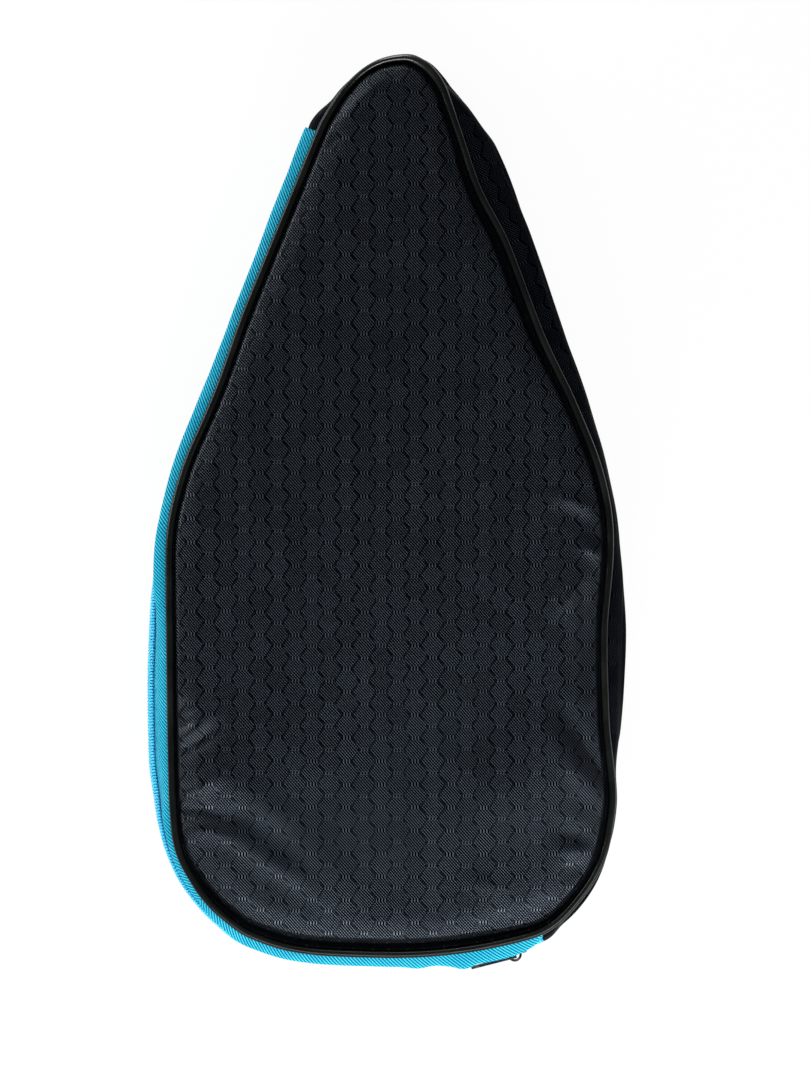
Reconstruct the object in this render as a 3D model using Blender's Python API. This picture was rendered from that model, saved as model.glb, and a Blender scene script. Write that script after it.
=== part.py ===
"""A soft zippered paddle case, lying on its back with the tip towards +Y and the front facing +Z.

Two padded teardrop panels are sewn to a side wall. The wall is a fabric spine over the tip and down the
right side, and a coil zipper down the left side and along the bottom. A moulded welt with a sewing flange
sits in each seam, and a folded binding covers the raw edges inside. With the zipper open, the front folds
back along the line between the zipper's two ends, so each front layer is a fixed piece and a flap piece
that meet on that line.
"""

import math

import bmesh
import bpy
from mathutils import Matrix, Vector

MM = 0.001

# Seam outline, measured on the middle of the piping bead
PANEL_LENGTH = 452 * MM
PANEL_WIDTH = 220 * MM
FLANK_TAPER = math.radians(22.3)
TIP_RADIUS = 29 * MM
SHOULDER_RADIUS = 157 * MM
CORNER_RADIUS = 56 * MM
BOTTOM_RADIUS = 250 * MM
TIP_LEAN = 8 * MM
LEAN_LENGTH = 36 * MM

# Layers, and the gap that keeps two neighbouring solids apart
FABRIC = 0.8 * MM
FOAM = 4 * MM
LINING = 0.6 * MM
CLEARANCE = 0.3 * MM

# Side wall and front crown
SEAM_SPACING = 36 * MM
FRONT_CROWN = 5.5 * MM
CROWN_REACH = 22 * MM
BACK_TURN = 5.5 * MM

# How far the side wall swells past the seam
SWELL_TIP = 2.5 * MM
SWELL_LEFT_FLANK = 4.8 * MM
SWELL_LEFT_SIDE = 9 * MM
SWELL_BOTTOM = 4.3 * MM
SWELL_RIGHT_CORNER = 3 * MM
SWELL_RIGHT_SIDE = 7.5 * MM
SWELL_RIGHT_SHOULDER = 5 * MM
SWELL_RIGHT_FLANK = 14 * MM

# Piping, seam allowance and binding
BEAD_RADIUS = 2.5 * MM
FLANGE = 0.8 * MM
ALLOWANCE = 9 * MM
BINDING = 0.5 * MM
BINDING_WIDTH = 4 * MM
BEAD_SIDES = 9
PAD_EDGE = 9.4 * MM

# Zipper, from its start on the left flank to its end past the bottom
ZIPPER_START = 55 * MM
ZIPPER_END = 80 * MM
TAPE = 0.8 * MM
TAPE_FLAT = 6 * MM
COIL_WIDTH = 2.4 * MM
COIL_THICK = 2.2 * MM
COIL_GAP = 1.7 * MM
COIL_SETBACK = 2 * MM
COIL_CREST = 0.4
COIL_SHOULDER = 0.7

# Fold line of the flap: from the zipper's start to this far past the middle of the bottom
FOLD_END = 52 * MM

# Slider, pull tab and their running clearance
SLIDER_REST = 62 * MM
SLIDER_LENGTH = 12.5 * MM
SLIDER_PLATE = 1.2 * MM
SLIDER_WALL = 1.2 * MM
SLIDER_FLARE = 0.7 * MM
SLIDER_ROUND = 2 * MM
SLIDER_RUN = 0.35 * MM
WEDGE_LENGTH = 3 * MM
BAIL_WIDTH = 2.2 * MM
BAIL_WIRE = 1.2 * MM
BAIL_SPAN = 4.8 * MM
BAIL_RISE = 2.5 * MM
PULL_LENGTH = 23 * MM
PULL_WIDTH = 7 * MM
PULL_THICK = 1.2 * MM
PULL_BAR = 1.4 * MM
PULL_EYE = 4.6 * MM
PULL_SLOT_WIDTH = 2.6 * MM
PULL_SLOT_LENGTH = 6 * MM
PULL_PLAY = 0.5 * MM
ROUND_END = 0.9

# Steps along the outline and across the sections
ARC_STEP = math.radians(12)
BOTTOM_STEP = math.radians(3.3)
RUN_STEP = 40 * MM
LEAST_STEP = 2 * MM
CROWN_SHARES = (1, 0.55, 0.25)
WALL_STEPS = 3
ROUND_STEPS = 4
BAIL_STEPS = 12
SHARP_ANGLE = math.radians(35)
CUT_TOLERANCE = 1e-7

# Heights that follow from the sizes above
BACK_SEAM_Z = BEAD_RADIUS + CLEARANCE
FRONT_SEAM_Z = BACK_SEAM_Z + SEAM_SPACING
MIDDLE_Z = (BACK_SEAM_Z + FRONT_SEAM_Z) / 2
FOLD_Z = FRONT_SEAM_Z + FRONT_CROWN
BACK = (BACK_SEAM_Z, -1)
FRONT = (FRONT_SEAM_Z, 1)

# Looks, each as (colour, roughness, metallic)
BLACK_FABRIC = ((0.012, 0.013, 0.016, 1), 0.6, 0.0)
BLACK_VINYL = ((0.006, 0.006, 0.007, 1), 0.2, 0.0)
BLACK_LINING = ((0.02, 0.02, 0.022, 1), 0.5, 0.0)
BLACK_BINDING = ((0.02, 0.02, 0.022, 1), 0.7, 0.0)
GREY_FOAM = ((0.12, 0.12, 0.12, 1), 0.9, 0.0)
CYAN_TAPE = ((0.03, 0.42, 0.7, 1), 0.7, 0.0)
CYAN_COIL = ((0.02, 0.3, 0.55, 1), 0.5, 0.0)
DARK_METAL = ((0.05, 0.05, 0.055, 1), 0.35, 0.9)


def clear_scene():
    for old in list(bpy.data.objects):
        bpy.data.objects.remove(old, do_unlink=True)


# Seam outline


def advance(x, y, heading, radius, distance):
    """Move along a straight run, or along a left-hand arc where a radius is given."""
    if radius is None:
        return x + distance * math.cos(heading), y + distance * math.sin(heading), heading
    turned = heading + distance / radius
    x += radius * (math.sin(turned) - math.sin(heading))
    y -= radius * (math.cos(turned) - math.cos(heading))
    return x, y, turned


def lay_out():
    """The outline as (start, length, radius, x, y, heading), from the tip down the left side and round."""
    half = PANEL_WIDTH / 2
    corner_turn = math.acos((half - CORNER_RADIUS) / (BOTTOM_RADIUS - CORNER_RADIUS))
    bottom_turn = math.pi / 2 - corner_turn
    tip = TIP_RADIUS * (math.pi / 2 - FLANK_TAPER)
    shoulder_in = SHOULDER_RADIUS * (1 - math.cos(FLANK_TAPER))
    flank = (half - TIP_RADIUS * math.cos(FLANK_TAPER) - shoulder_in) / math.sin(FLANK_TAPER)
    used = TIP_RADIUS * (1 - math.sin(FLANK_TAPER)) + flank * math.cos(FLANK_TAPER)
    used += SHOULDER_RADIUS * math.sin(FLANK_TAPER)
    used += CORNER_RADIUS * math.sin(corner_turn) + BOTTOM_RADIUS * (1 - math.sin(corner_turn))
    down = [
        (tip, TIP_RADIUS),
        (flank, None),
        (SHOULDER_RADIUS * FLANK_TAPER, SHOULDER_RADIUS),
        (PANEL_LENGTH - used, None),
        (CORNER_RADIUS * corner_turn, CORNER_RADIUS),
        (BOTTOM_RADIUS * bottom_turn, BOTTOM_RADIUS),
    ]
    pieces = []
    x, y, heading, start = 0.0, PANEL_LENGTH / 2, math.pi, 0.0
    for length, radius in down + down[::-1]:
        pieces.append((start, length, radius, x, y, heading))
        x, y, heading = advance(x, y, heading, radius, length)
        start += length
    return pieces


OUTLINE = lay_out()
ROUND = OUTLINE[-1][0] + OUTLINE[-1][1]
(
    TIP_TOP,
    LEFT_FLANK,
    LEFT_SHOULDER,
    LEFT_SIDE,
    LEFT_CORNER,
    BOTTOM_LEFT,
    BOTTOM_MIDDLE,
    RIGHT_CORNER,
    RIGHT_SIDE,
    RIGHT_SHOULDER,
    RIGHT_FLANK,
    TIP_RIGHT,
) = (piece[0] for piece in OUTLINE)
ZIPPER_STOP = BOTTOM_MIDDLE + ZIPPER_END
SLIDER_AT = BOTTOM_MIDDLE + SLIDER_REST
ARC_CENTRE = Vector((0, BOTTOM_RADIUS - PANEL_LENGTH / 2, MIDDLE_Z))


def seam_at(along):
    """Place and heading on the seam, at a distance along it from the tip."""
    along %= ROUND
    start, _, radius, x, y, heading = [piece for piece in OUTLINE if piece[0] <= along][-1]
    return advance(x, y, heading, radius, along - start)


def true_place(along, out, z):
    """The point this far along the seam and this far outside it, at this height. The tip leans to +X."""
    x, y, heading = seam_at(along)
    x += out * math.sin(heading)
    y -= out * math.cos(heading)
    rise = max(0.0, 1 - (PANEL_LENGTH / 2 - y) / LEAN_LENGTH)
    return Vector((x + TIP_LEAN * rise * rise, y, z))


def steps_of_outline():
    """Stations all the way round, close together on the arcs."""
    found = []
    for start, length, radius, *_ in OUTLINE:
        if radius is None:
            count = math.ceil(length / RUN_STEP)
        else:
            step = BOTTOM_STEP if radius == BOTTOM_RADIUS else ARC_STEP
            count = math.ceil(length / radius / step)
        found += [start + length * i / count for i in range(count)]
    return found


STATIONS = steps_of_outline()


def place(along, out, z):
    """As true_place, but on the straight line between two stations, so that layers stay apart."""
    rest = along % ROUND
    before = [s for s in STATIONS if s <= rest][-1]
    after = min([s for s in STATIONS if s > rest] + [ROUND])
    share = (rest - before) / (after - before)
    return true_place(before, out, z).lerp(true_place(after, out, z), share)


def stations(first, last):
    """The stations from first to last, which may run on past the tip."""
    inner = [s for turn in (0, ROUND) for s in (x + turn for x in STATIONS)]
    inner = [s for s in inner if first + LEAST_STEP < s < last - LEAST_STEP]
    return [first] + inner + [last]


def swell(along):
    """How far the side wall stands out past the seam here, eased from landmark to landmark."""
    marks = [
        (TIP_TOP, SWELL_TIP),
        (LEFT_FLANK, SWELL_LEFT_FLANK),
        (LEFT_SHOULDER, SWELL_LEFT_FLANK),
        (LEFT_SIDE, SWELL_LEFT_FLANK),
        ((LEFT_SIDE + LEFT_CORNER) / 2, SWELL_LEFT_SIDE),
        (LEFT_CORNER, (SWELL_LEFT_SIDE + SWELL_BOTTOM) / 2),
        (BOTTOM_LEFT, SWELL_BOTTOM),
        (RIGHT_CORNER, SWELL_BOTTOM),
        (RIGHT_SIDE, SWELL_RIGHT_CORNER),
        ((RIGHT_SIDE + RIGHT_SHOULDER) / 2, SWELL_RIGHT_SIDE),
        (RIGHT_SHOULDER, SWELL_RIGHT_SIDE),
        (RIGHT_FLANK, SWELL_RIGHT_SHOULDER),
        ((RIGHT_FLANK + TIP_RIGHT) / 2, SWELL_RIGHT_FLANK),
        (TIP_RIGHT, (SWELL_RIGHT_FLANK + SWELL_TIP) / 2),
        (ROUND, SWELL_TIP),
    ]
    along %= ROUND
    for (low, from_swell), (high, to_swell) in zip(marks, marks[1:]):
        if along <= high:
            share = (along - low) / (high - low)
            ease = (1 - math.cos(math.pi * share)) / 2
            return from_swell + (to_swell - from_swell) * ease
    return SWELL_TIP


# Sections, as (out, z) points beside the seam

FACE_ACROSS = FLANGE / 2 + CLEARANCE
BACK_ACROSS = FACE_ACROSS + FABRIC
BEAD_CLEAR = BEAD_RADIUS + CLEARANCE
TURN_START = math.sqrt(BEAD_CLEAR**2 - FACE_ACROSS**2)
TURN_INSIDE = TURN_START + FABRIC
TUCK_ABOVE = math.radians(15)
TUCK_BELOW = math.radians(10)


def turned_in(wall, inwards, across):
    """A point of the seam allowance, which runs in at 45 degrees: across is positive on the panel's side."""
    seam_z, up = wall
    diagonal = math.sqrt(0.5)
    return -(inwards + across) * diagonal, seam_z + up * (across - inwards) * diagonal


def crown_rings():
    """The front panel's rings as (inset, height over the seam), from the flat middle to the piping."""
    return [
        (BEAD_CLEAR + share * CROWN_REACH, FRONT_CROWN * math.sin(share * math.pi / 2))
        for share in CROWN_SHARES
    ]


def back_rings():
    """The back panel is flat up to where it turns up to the piping."""
    return [(BEAD_CLEAR + BACK_TURN, BACK_SEAM_Z)]


def panel_section(wall, rings):
    """Outer fabric: the crowned face, tucked in beside the bead and turned inwards along the flange."""
    seam_z, up = wall
    face = [(-inset, seam_z + up * height) for inset, height in rings]
    inside = [(-inset, seam_z + up * (height - FABRIC)) for inset, height in rings]
    deep = BEAD_CLEAR + FABRIC
    edge = [
        (-BEAD_CLEAR * math.cos(TUCK_ABOVE), seam_z + up * BEAD_CLEAR * math.sin(TUCK_ABOVE)),
        turned_in(wall, TURN_START, FACE_ACROSS),
        turned_in(wall, ALLOWANCE, FACE_ACROSS),
        turned_in(wall, ALLOWANCE, BACK_ACROSS),
        turned_in(wall, TURN_INSIDE, BACK_ACROSS),
        (-deep * math.cos(TUCK_BELOW), seam_z - up * deep * math.sin(TUCK_BELOW)),
    ]
    return face + edge + inside[::-1]


def layer_section(wall, rings, top, thick):
    """A layer under the outer fabric, from the pad edge inwards, at a depth below the fabric's face."""
    seam_z, up = wall
    kept = [(inset, height) for inset, height in rings if inset > PAD_EDGE]
    (outer_inset, outer_height) = (BEAD_CLEAR, 0.0)
    for inset, height in rings[::-1]:
        if inset > PAD_EDGE:
            share = (PAD_EDGE - outer_inset) / (inset - outer_inset)
            kept.append((PAD_EDGE, outer_height + share * (height - outer_height)))
            break
        outer_inset, outer_height = inset, height
    else:
        kept.append((PAD_EDGE, outer_height))
    upper = [(-inset, seam_z + up * (height - top)) for inset, height in kept]
    lower = [(-inset, seam_z + up * (height - top - thick)) for inset, height in kept]
    return upper + lower[::-1]


def piping_section(wall):
    """A round bead with a flat sewing flange, moulded in one."""
    half = math.asin(FLANGE / 2 / BEAD_RADIUS)
    turn = 2 * math.pi - 2 * half
    bead = [half + turn * i / BEAD_SIDES for i in range(BEAD_SIDES + 1)]
    points = [turned_in(wall, ALLOWANCE, -FLANGE / 2), turned_in(wall, ALLOWANCE, FLANGE / 2)]
    points += [turned_in(wall, BEAD_RADIUS * math.cos(a), BEAD_RADIUS * math.sin(a)) for a in bead]
    return points


def binding_section(wall):
    """Tape folded over the ends of the two allowances and the flange."""
    near = BACK_ACROSS + CLEARANCE
    far = near + BINDING
    inner_end = ALLOWANCE + CLEARANCE
    outer_end = inner_end + BINDING
    start = outer_end - BINDING_WIDTH
    corners = [
        (start, far),
        (outer_end, far),
        (outer_end, -far),
        (start, -far),
        (start, -near),
        (inner_end, -near),
        (inner_end, near),
        (start, near),
    ]
    return [turned_in(wall, inwards, across) for inwards, across in corners]


def half_wall(wall, out, depth, first=0):
    """Half of the side wall's curve, from under the bead to the flat middle, at a depth inside its face."""
    seam_z, up = wall
    tall = SEAM_SPACING / 2 - BEAD_CLEAR - TAPE_FLAT
    points = []
    for step in range(first, WALL_STEPS + 1):
        angle = math.pi / 2 * step / WALL_STEPS
        height = TAPE_FLAT + (tall - depth) * math.cos(angle)
        points.append(((out - depth) * math.sin(angle), MIDDLE_Z + up * height))
    return points


def spine_section(along):
    """Gusset fabric from seam to seam, with both its allowances."""
    out = swell(along)
    face = [turned_in(FRONT, ALLOWANCE, -FACE_ACROSS), turned_in(FRONT, TURN_START, -FACE_ACROSS)]
    face += half_wall(FRONT, out, 0) + half_wall(BACK, out, 0)[::-1]
    face += [turned_in(BACK, TURN_START, -FACE_ACROSS), turned_in(BACK, ALLOWANCE, -FACE_ACROSS)]
    inside = [turned_in(BACK, ALLOWANCE, -BACK_ACROSS), turned_in(BACK, TURN_INSIDE, -BACK_ACROSS)]
    inside += half_wall(BACK, out, FABRIC) + half_wall(FRONT, out, FABRIC)[::-1]
    inside += [turned_in(FRONT, TURN_INSIDE, -BACK_ACROSS), turned_in(FRONT, ALLOWANCE, -BACK_ACROSS)]
    return face + inside


def spine_lining_section(along):
    out = swell(along)
    near = FABRIC + CLEARANCE
    far = near + LINING
    face = half_wall(FRONT, out, near, 1) + half_wall(BACK, out, near, 1)[::-1]
    inside = half_wall(BACK, out, far, 1) + half_wall(FRONT, out, far, 1)[::-1]
    return face + inside


def tape_section(wall, along):
    """Half of the zipper's tape, from its allowance to the edge that carries the coil."""
    out = swell(along)
    edge_z = MIDDLE_Z + wall[1] * COIL_GAP / 2
    across = FACE_ACROSS + TAPE
    face = [turned_in(wall, ALLOWANCE, -FACE_ACROSS), turned_in(wall, TURN_START, -FACE_ACROSS)]
    face += half_wall(wall, out, 0) + [(out, edge_z)]
    inside = [(out - TAPE, edge_z)] + half_wall(wall, out, TAPE)[::-1]
    inside += [turned_in(wall, TURN_START + TAPE, -across), turned_in(wall, ALLOWANCE, -across)]
    return face + inside


def coil_section(wall, along):
    """Envelope of half of the coil, flat where it is sewn to the tape and rounded outside."""
    out = swell(along) + CLEARANCE
    near = MIDDLE_Z + wall[1] * COIL_GAP / 2
    far = near + wall[1] * COIL_WIDTH
    crest = near + (far - near) * COIL_CREST
    full = out + COIL_THICK
    shy = out + COIL_THICK * COIL_SHOULDER
    return [(out, near), (shy, near), (full, crest), (shy, far), (out, far)]


# Building the meshes


def sweep(section_at, first, last):
    """A closed solid whose section changes along the seam, capped at both ends."""
    bm = bmesh.new()
    rings = []
    for along in stations(first, last):
        rings.append([bm.verts.new(place(along, out, z)) for out, z in section_at(along)])
    for ring, following in zip(rings, rings[1:]):
        bridge(bm, ring, following)
    bm.faces.new(rings[0])
    bm.faces.new(rings[-1][::-1])
    return tidy(bm)


def loop(section):
    """A closed solid of one section, all the way round the seam."""
    bm = bmesh.new()
    rings = [[bm.verts.new(place(along, out, z)) for out, z in section] for along in STATIONS]
    for ring, following in zip(rings, rings[1:] + rings[:1]):
        bridge(bm, ring, following)
    return tidy(bm)


def plate(section):
    """A closed sheet: the section runs out over its face and back under it, and both middles are filled."""
    bm = bmesh.new()
    rings = [[bm.verts.new(place(along, out, z)) for along in STATIONS] for out, z in section]
    for ring, following in zip(rings, rings[1:]):
        bridge(bm, ring, following)
    bm.faces.new(rings[0])
    bm.faces.new(rings[-1][::-1])
    return tidy(bm)


def bridge(bm, ring, following):
    """Join two rings with triangles that lean the same way on every layer, so that layers don't cross."""
    for i, here in enumerate(ring):
        j = (i + 1) % len(ring)
        if here.co.z >= ring[j].co.z:
            bm.faces.new((here, ring[j], following[j]))
            bm.faces.new((here, following[j], following[i]))
        else:
            bm.faces.new((here, ring[j], following[i]))
            bm.faces.new((ring[j], following[j], following[i]))


def tidy(bm):
    bmesh.ops.recalc_face_normals(bm, faces=bm.faces)
    return bm


def fold_line():
    """A point on the fold, and the unit direction from the bottom towards the tip."""
    upper = place(ZIPPER_START, 0, FOLD_Z)
    lower = place(BOTTOM_MIDDLE + FOLD_END, 0, FOLD_Z)
    return lower, (upper - lower).normalized()


def keep_side(bm, side):
    """Cut off what lies past the fold line: side is 1 for the flap and -1 for the fixed front."""
    point, along = fold_line()
    to_flap = Vector((0, 0, 1)).cross(along)
    cut = bm.copy()
    bmesh.ops.bisect_plane(
        cut,
        geom=cut.verts[:] + cut.edges[:] + cut.faces[:],
        dist=CUT_TOLERANCE,
        plane_co=point + to_flap * side * CLEARANCE / 2,
        plane_no=-to_flap * side,
        clear_outer=True,
    )
    bmesh.ops.holes_fill(cut, edges=[e for e in cut.edges if e.is_boundary], sides=0)
    trim_scraps(cut)
    return tidy(cut)


def trim_scraps(bm):
    """Keep the largest piece: at the zipper's start the fold line cuts a corner off the tape's allowance."""
    left = set(bm.verts)
    islands = []
    while left:
        island = set()
        reached = [left.pop()]
        while reached:
            vert = reached.pop()
            island.add(vert)
            near = {edge.other_vert(vert) for edge in vert.link_edges} & left
            left -= near
            reached += near
        islands.append(island)
    islands.sort(key=len)
    scraps = [vert for island in islands[:-1] for vert in island]
    bmesh.ops.delete(bm, geom=scraps, context="VERTS")


def finish(name, bm, look, parent=None):
    """Turn a bmesh into a named object with its own material, keeping its place under a parent."""
    mesh = bpy.data.meshes.new(name)
    bm.to_mesh(mesh)
    bm.free()
    mesh.shade_smooth()
    mesh.set_sharp_from_angle(angle=SHARP_ANGLE)
    made = bpy.data.objects.new(name, mesh)
    bpy.context.scene.collection.objects.link(made)
    material = bpy.data.materials.new(name)
    material.use_nodes = True
    shader = material.node_tree.nodes["Principled BSDF"]
    for socket, value in zip(("Base Color", "Roughness", "Metallic"), look):
        shader.inputs[socket].default_value = value
    mesh.materials.append(material)
    if parent:
        made.parent = parent
        made.matrix_parent_inverse = parent.matrix_world.inverted()
    return made


def split(fixed_name, flap_name, bm, hinge, look):
    """Make the fixed piece and the flap piece of one front layer."""
    finish(fixed_name, keep_side(bm, -1), look)
    finish(flap_name, keep_side(bm, 1), look, hinge)
    bm.free()


def axis_empty(name, matrix):
    empty = bpy.data.objects.new(name, None)
    bpy.context.scene.collection.objects.link(empty)
    empty.matrix_world = matrix
    bpy.context.view_layer.update()
    return empty


# The sewn case


FOAM_TOP = FABRIC + CLEARANCE
LINING_TOP = FOAM_TOP + FOAM + CLEARANCE


def make_back():
    finish("back_panel", plate(panel_section(BACK, back_rings())), BLACK_FABRIC)
    finish("back_padding", plate(layer_section(BACK, back_rings(), FOAM_TOP, FOAM)), GREY_FOAM)
    finish("back_lining", plate(layer_section(BACK, back_rings(), LINING_TOP, LINING)), BLACK_LINING)
    finish("back_piping", loop(piping_section(BACK)), BLACK_VINYL)
    finish("back_binding", loop(binding_section(BACK)), BLACK_BINDING)


def make_front(hinge):
    panel = plate(panel_section(FRONT, crown_rings()))
    split("front_panel", "flap_panel", panel, hinge, BLACK_FABRIC)
    foam = plate(layer_section(FRONT, crown_rings(), FOAM_TOP, FOAM))
    split("front_padding", "flap_padding", foam, hinge, GREY_FOAM)
    lining = plate(layer_section(FRONT, crown_rings(), LINING_TOP, LINING))
    split("front_lining", "flap_lining", lining, hinge, BLACK_LINING)
    split("front_piping", "flap_piping", loop(piping_section(FRONT)), hinge, BLACK_VINYL)
    split("front_binding", "flap_binding", loop(binding_section(FRONT)), hinge, BLACK_BINDING)


def make_spine():
    """The gusset runs from the zipper's end, up the right side and over the tip, to the zipper's start."""
    first = ZIPPER_STOP + CLEARANCE
    last = ROUND + ZIPPER_START - CLEARANCE
    finish("spine_gusset", sweep(spine_section, first, last), BLACK_FABRIC)
    finish("spine_lining", sweep(spine_lining_section, first, last), BLACK_LINING)


def make_zipper(hinge):
    back_tape = sweep(lambda along: tape_section(BACK, along), ZIPPER_START, ZIPPER_STOP)
    finish("zipper_tape_back", back_tape, CYAN_TAPE)
    front_tape = sweep(lambda along: tape_section(FRONT, along), ZIPPER_START, ZIPPER_STOP)
    split("zipper_tape_tail", "zipper_tape_front", front_tape, hinge, CYAN_TAPE)
    first = ZIPPER_START + COIL_SETBACK
    last = ZIPPER_STOP - COIL_SETBACK
    back_coil = sweep(lambda along: coil_section(BACK, along), first, last)
    finish("zipper_coil_back", back_coil, CYAN_COIL)
    front_coil = sweep(lambda along: coil_section(FRONT, along), first, last)
    split("zipper_coil_tail", "zipper_coil_front", front_coil, hinge, CYAN_COIL)


# Slider and pull tab, in the slider's frame: x along the zipper, y up, z out from the tape's face

CHANNEL_TOP = CLEARANCE + COIL_THICK + SLIDER_RUN
PLATE_TOP = CHANNEL_TOP + SLIDER_PLATE
CHANNEL_FLOOR = -TAPE - SLIDER_RUN
CHANNEL_HALF = COIL_GAP / 2 + COIL_WIDTH + SLIDER_RUN
SLIDER_HALF = CHANNEL_HALF + SLIDER_WALL
WEDGE_WIDTH = COIL_GAP - 2 * SLIDER_RUN
BAR_HEIGHT = PLATE_TOP + BAIL_RISE / 2
OVERLAP = 0.2 * MM


def slab(outline, low, high, frame=Matrix()):
    """An outline in the x-y plane, extruded from low to high, then turned by a frame."""
    bm = bmesh.new()
    base = bm.faces.new([bm.verts.new((x, y, low)) for x, y in outline])
    pushed = bmesh.ops.extrude_face_region(bm, geom=[base])["geom"]
    raised = [item for item in pushed if isinstance(item, bmesh.types.BMVert)]
    bmesh.ops.translate(bm, vec=(0, 0, high - low), verts=raised)
    bmesh.ops.transform(bm, matrix=frame, verts=bm.verts)
    return tidy(bm)


def rounded(corners, radius):
    """Corners of a convex outline, each given as (x, y), replaced by arcs."""
    points = []
    count = len(corners)
    for i in range(count):
        here = Vector(corners[i])
        before = (Vector(corners[i - 1]) - here).normalized()
        after = (Vector(corners[(i + 1) % count]) - here).normalized()
        half = before.angle(after) / 2
        reach = radius / math.tan(half)
        centre = here + (before + after).normalized() * radius / math.sin(half)
        first = here + before * reach - centre
        turn = math.pi - 2 * half
        for step in range(ROUND_STEPS + 1):
            spun = Matrix.Rotation(turn * step / ROUND_STEPS, 2) @ first
            points.append(tuple(centre + spun))
    return points


def helper(name, bm):
    """A hidden solid that a Boolean adds or takes away."""
    mesh = bpy.data.meshes.new(name)
    bm.to_mesh(mesh)
    bm.free()
    made = bpy.data.objects.new(name, mesh)
    bpy.context.scene.collection.objects.link(made)
    made.hide_render = True
    made.display_type = "WIRE"
    return made


def combine(base, other, operation):
    modifier = base.modifiers.new(operation.lower(), "BOOLEAN")
    modifier.operation = operation
    modifier.object = other
    other.matrix_world = base.matrix_world


def slider_frame():
    heading = seam_at(SLIDER_AT)[2]
    along = Vector((math.cos(heading), math.sin(heading), 0))
    out = Vector((math.sin(heading), -math.cos(heading), 0))
    at = true_place(SLIDER_AT, SWELL_BOTTOM, MIDDLE_Z)
    columns = Matrix((along, Vector((0, 0, 1)), out)).transposed()
    return Matrix.Translation(at) @ columns.to_4x4()


def plate_outline(rear, nose):
    """The slider's plate: its nose, where the two halves of the zipper part, is the wider end."""
    half = SLIDER_LENGTH / 2
    corners = [(-half, -rear), (half, -nose), (half, nose), (-half, rear)]
    return rounded(corners, SLIDER_ROUND)


def side_wall(sign):
    """One of the two walls under the outer plate that keep the coil in."""
    half = SLIDER_LENGTH / 2 - SLIDER_ROUND
    near, far = sorted((sign * CHANNEL_HALF, sign * (SLIDER_HALF - OVERLAP)))
    return slab([(-half, near), (half, near), (half, far), (-half, far)], SLIDER_RUN, CHANNEL_TOP + OVERLAP)


def bail():
    """An arch over the outer plate, standing on both its ends."""
    inner_half = BAIL_SPAN / 2
    outer_half = inner_half + BAIL_WIRE
    foot = -SLIDER_PLATE / 2
    angles = [math.pi * i / BAIL_STEPS for i in range(BAIL_STEPS + 1)]
    outer = [(outer_half * math.cos(a), (BAIL_RISE + BAIL_WIRE) * math.sin(a)) for a in angles]
    inner = [(inner_half * math.cos(a), BAIL_RISE * math.sin(a)) for a in angles]
    outline = [(outer_half, foot)] + outer + [(-outer_half, foot), (-inner_half, foot)]
    outline += inner[::-1] + [(inner_half, foot)]
    upright = Matrix.Translation((0, 0, PLATE_TOP)) @ Matrix.Rotation(math.pi / 2, 4, "X")
    return slab(outline, -BAIL_WIDTH / 2, BAIL_WIDTH / 2, upright)


def make_slider(centre):
    outline = plate_outline(SLIDER_HALF, SLIDER_HALF + SLIDER_FLARE)
    bm = slab(outline, CHANNEL_TOP, PLATE_TOP)
    slider = finish("slider_body", bm, DARK_METAL, centre)
    slider.matrix_world = slider_frame()
    bpy.context.view_layer.update()
    nose = SLIDER_LENGTH / 2 - SLIDER_ROUND / 2
    half = WEDGE_WIDTH / 2
    wedge = [(nose - WEDGE_LENGTH, -half), (nose, -half), (nose, half), (nose - WEDGE_LENGTH, half)]
    pieces = {
        "slider_inner_plate": slab(outline, CHANNEL_FLOOR - SLIDER_PLATE, CHANNEL_FLOOR),
        "slider_upper_wall": side_wall(1),
        "slider_lower_wall": side_wall(-1),
        "slider_bail": bail(),
        "slider_wedge": slab(wedge, CHANNEL_FLOOR - OVERLAP, CHANNEL_TOP + OVERLAP),
    }
    for name, shape in pieces.items():
        combine(slider, helper(name, shape), "UNION")
    return slider


def make_pull(slider):
    """A flat tab whose bar runs under the bail: it lies back along the closed zipper."""
    half = PULL_WIDTH / 2
    bar = PULL_BAR / 2
    corners = [(-PULL_LENGTH, -half), (bar, -half), (bar, half), (-PULL_LENGTH, half)]
    low, high = -PULL_THICK / 2, PULL_THICK / 2
    tab = finish("pull_tab", slab(rounded(corners, PULL_BAR), low, high), DARK_METAL, slider)
    tab.matrix_world = slider.matrix_world @ Matrix.Translation((0, 0, BAR_HEIGHT))
    bpy.context.view_layer.update()
    eye_half = BAIL_WIDTH / 2 + PULL_PLAY
    eye = [(-PULL_EYE, -eye_half), (-bar, -eye_half), (-bar, eye_half), (-PULL_EYE, eye_half)]
    slot_half = PULL_SLOT_WIDTH / 2
    slot_end = -PULL_LENGTH + half
    slot_start = slot_end + PULL_SLOT_LENGTH
    slot = [(slot_end, -slot_half), (slot_start, -slot_half), (slot_start, slot_half), (slot_end, slot_half)]
    cutters = {"pull_eye": eye, "pull_slot": rounded(slot, slot_half * ROUND_END)}
    for name, outline in cutters.items():
        cutter = slab(outline, low - PULL_THICK, high + PULL_THICK)
        combine(tab, helper(name, cutter), "DIFFERENCE")


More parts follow.
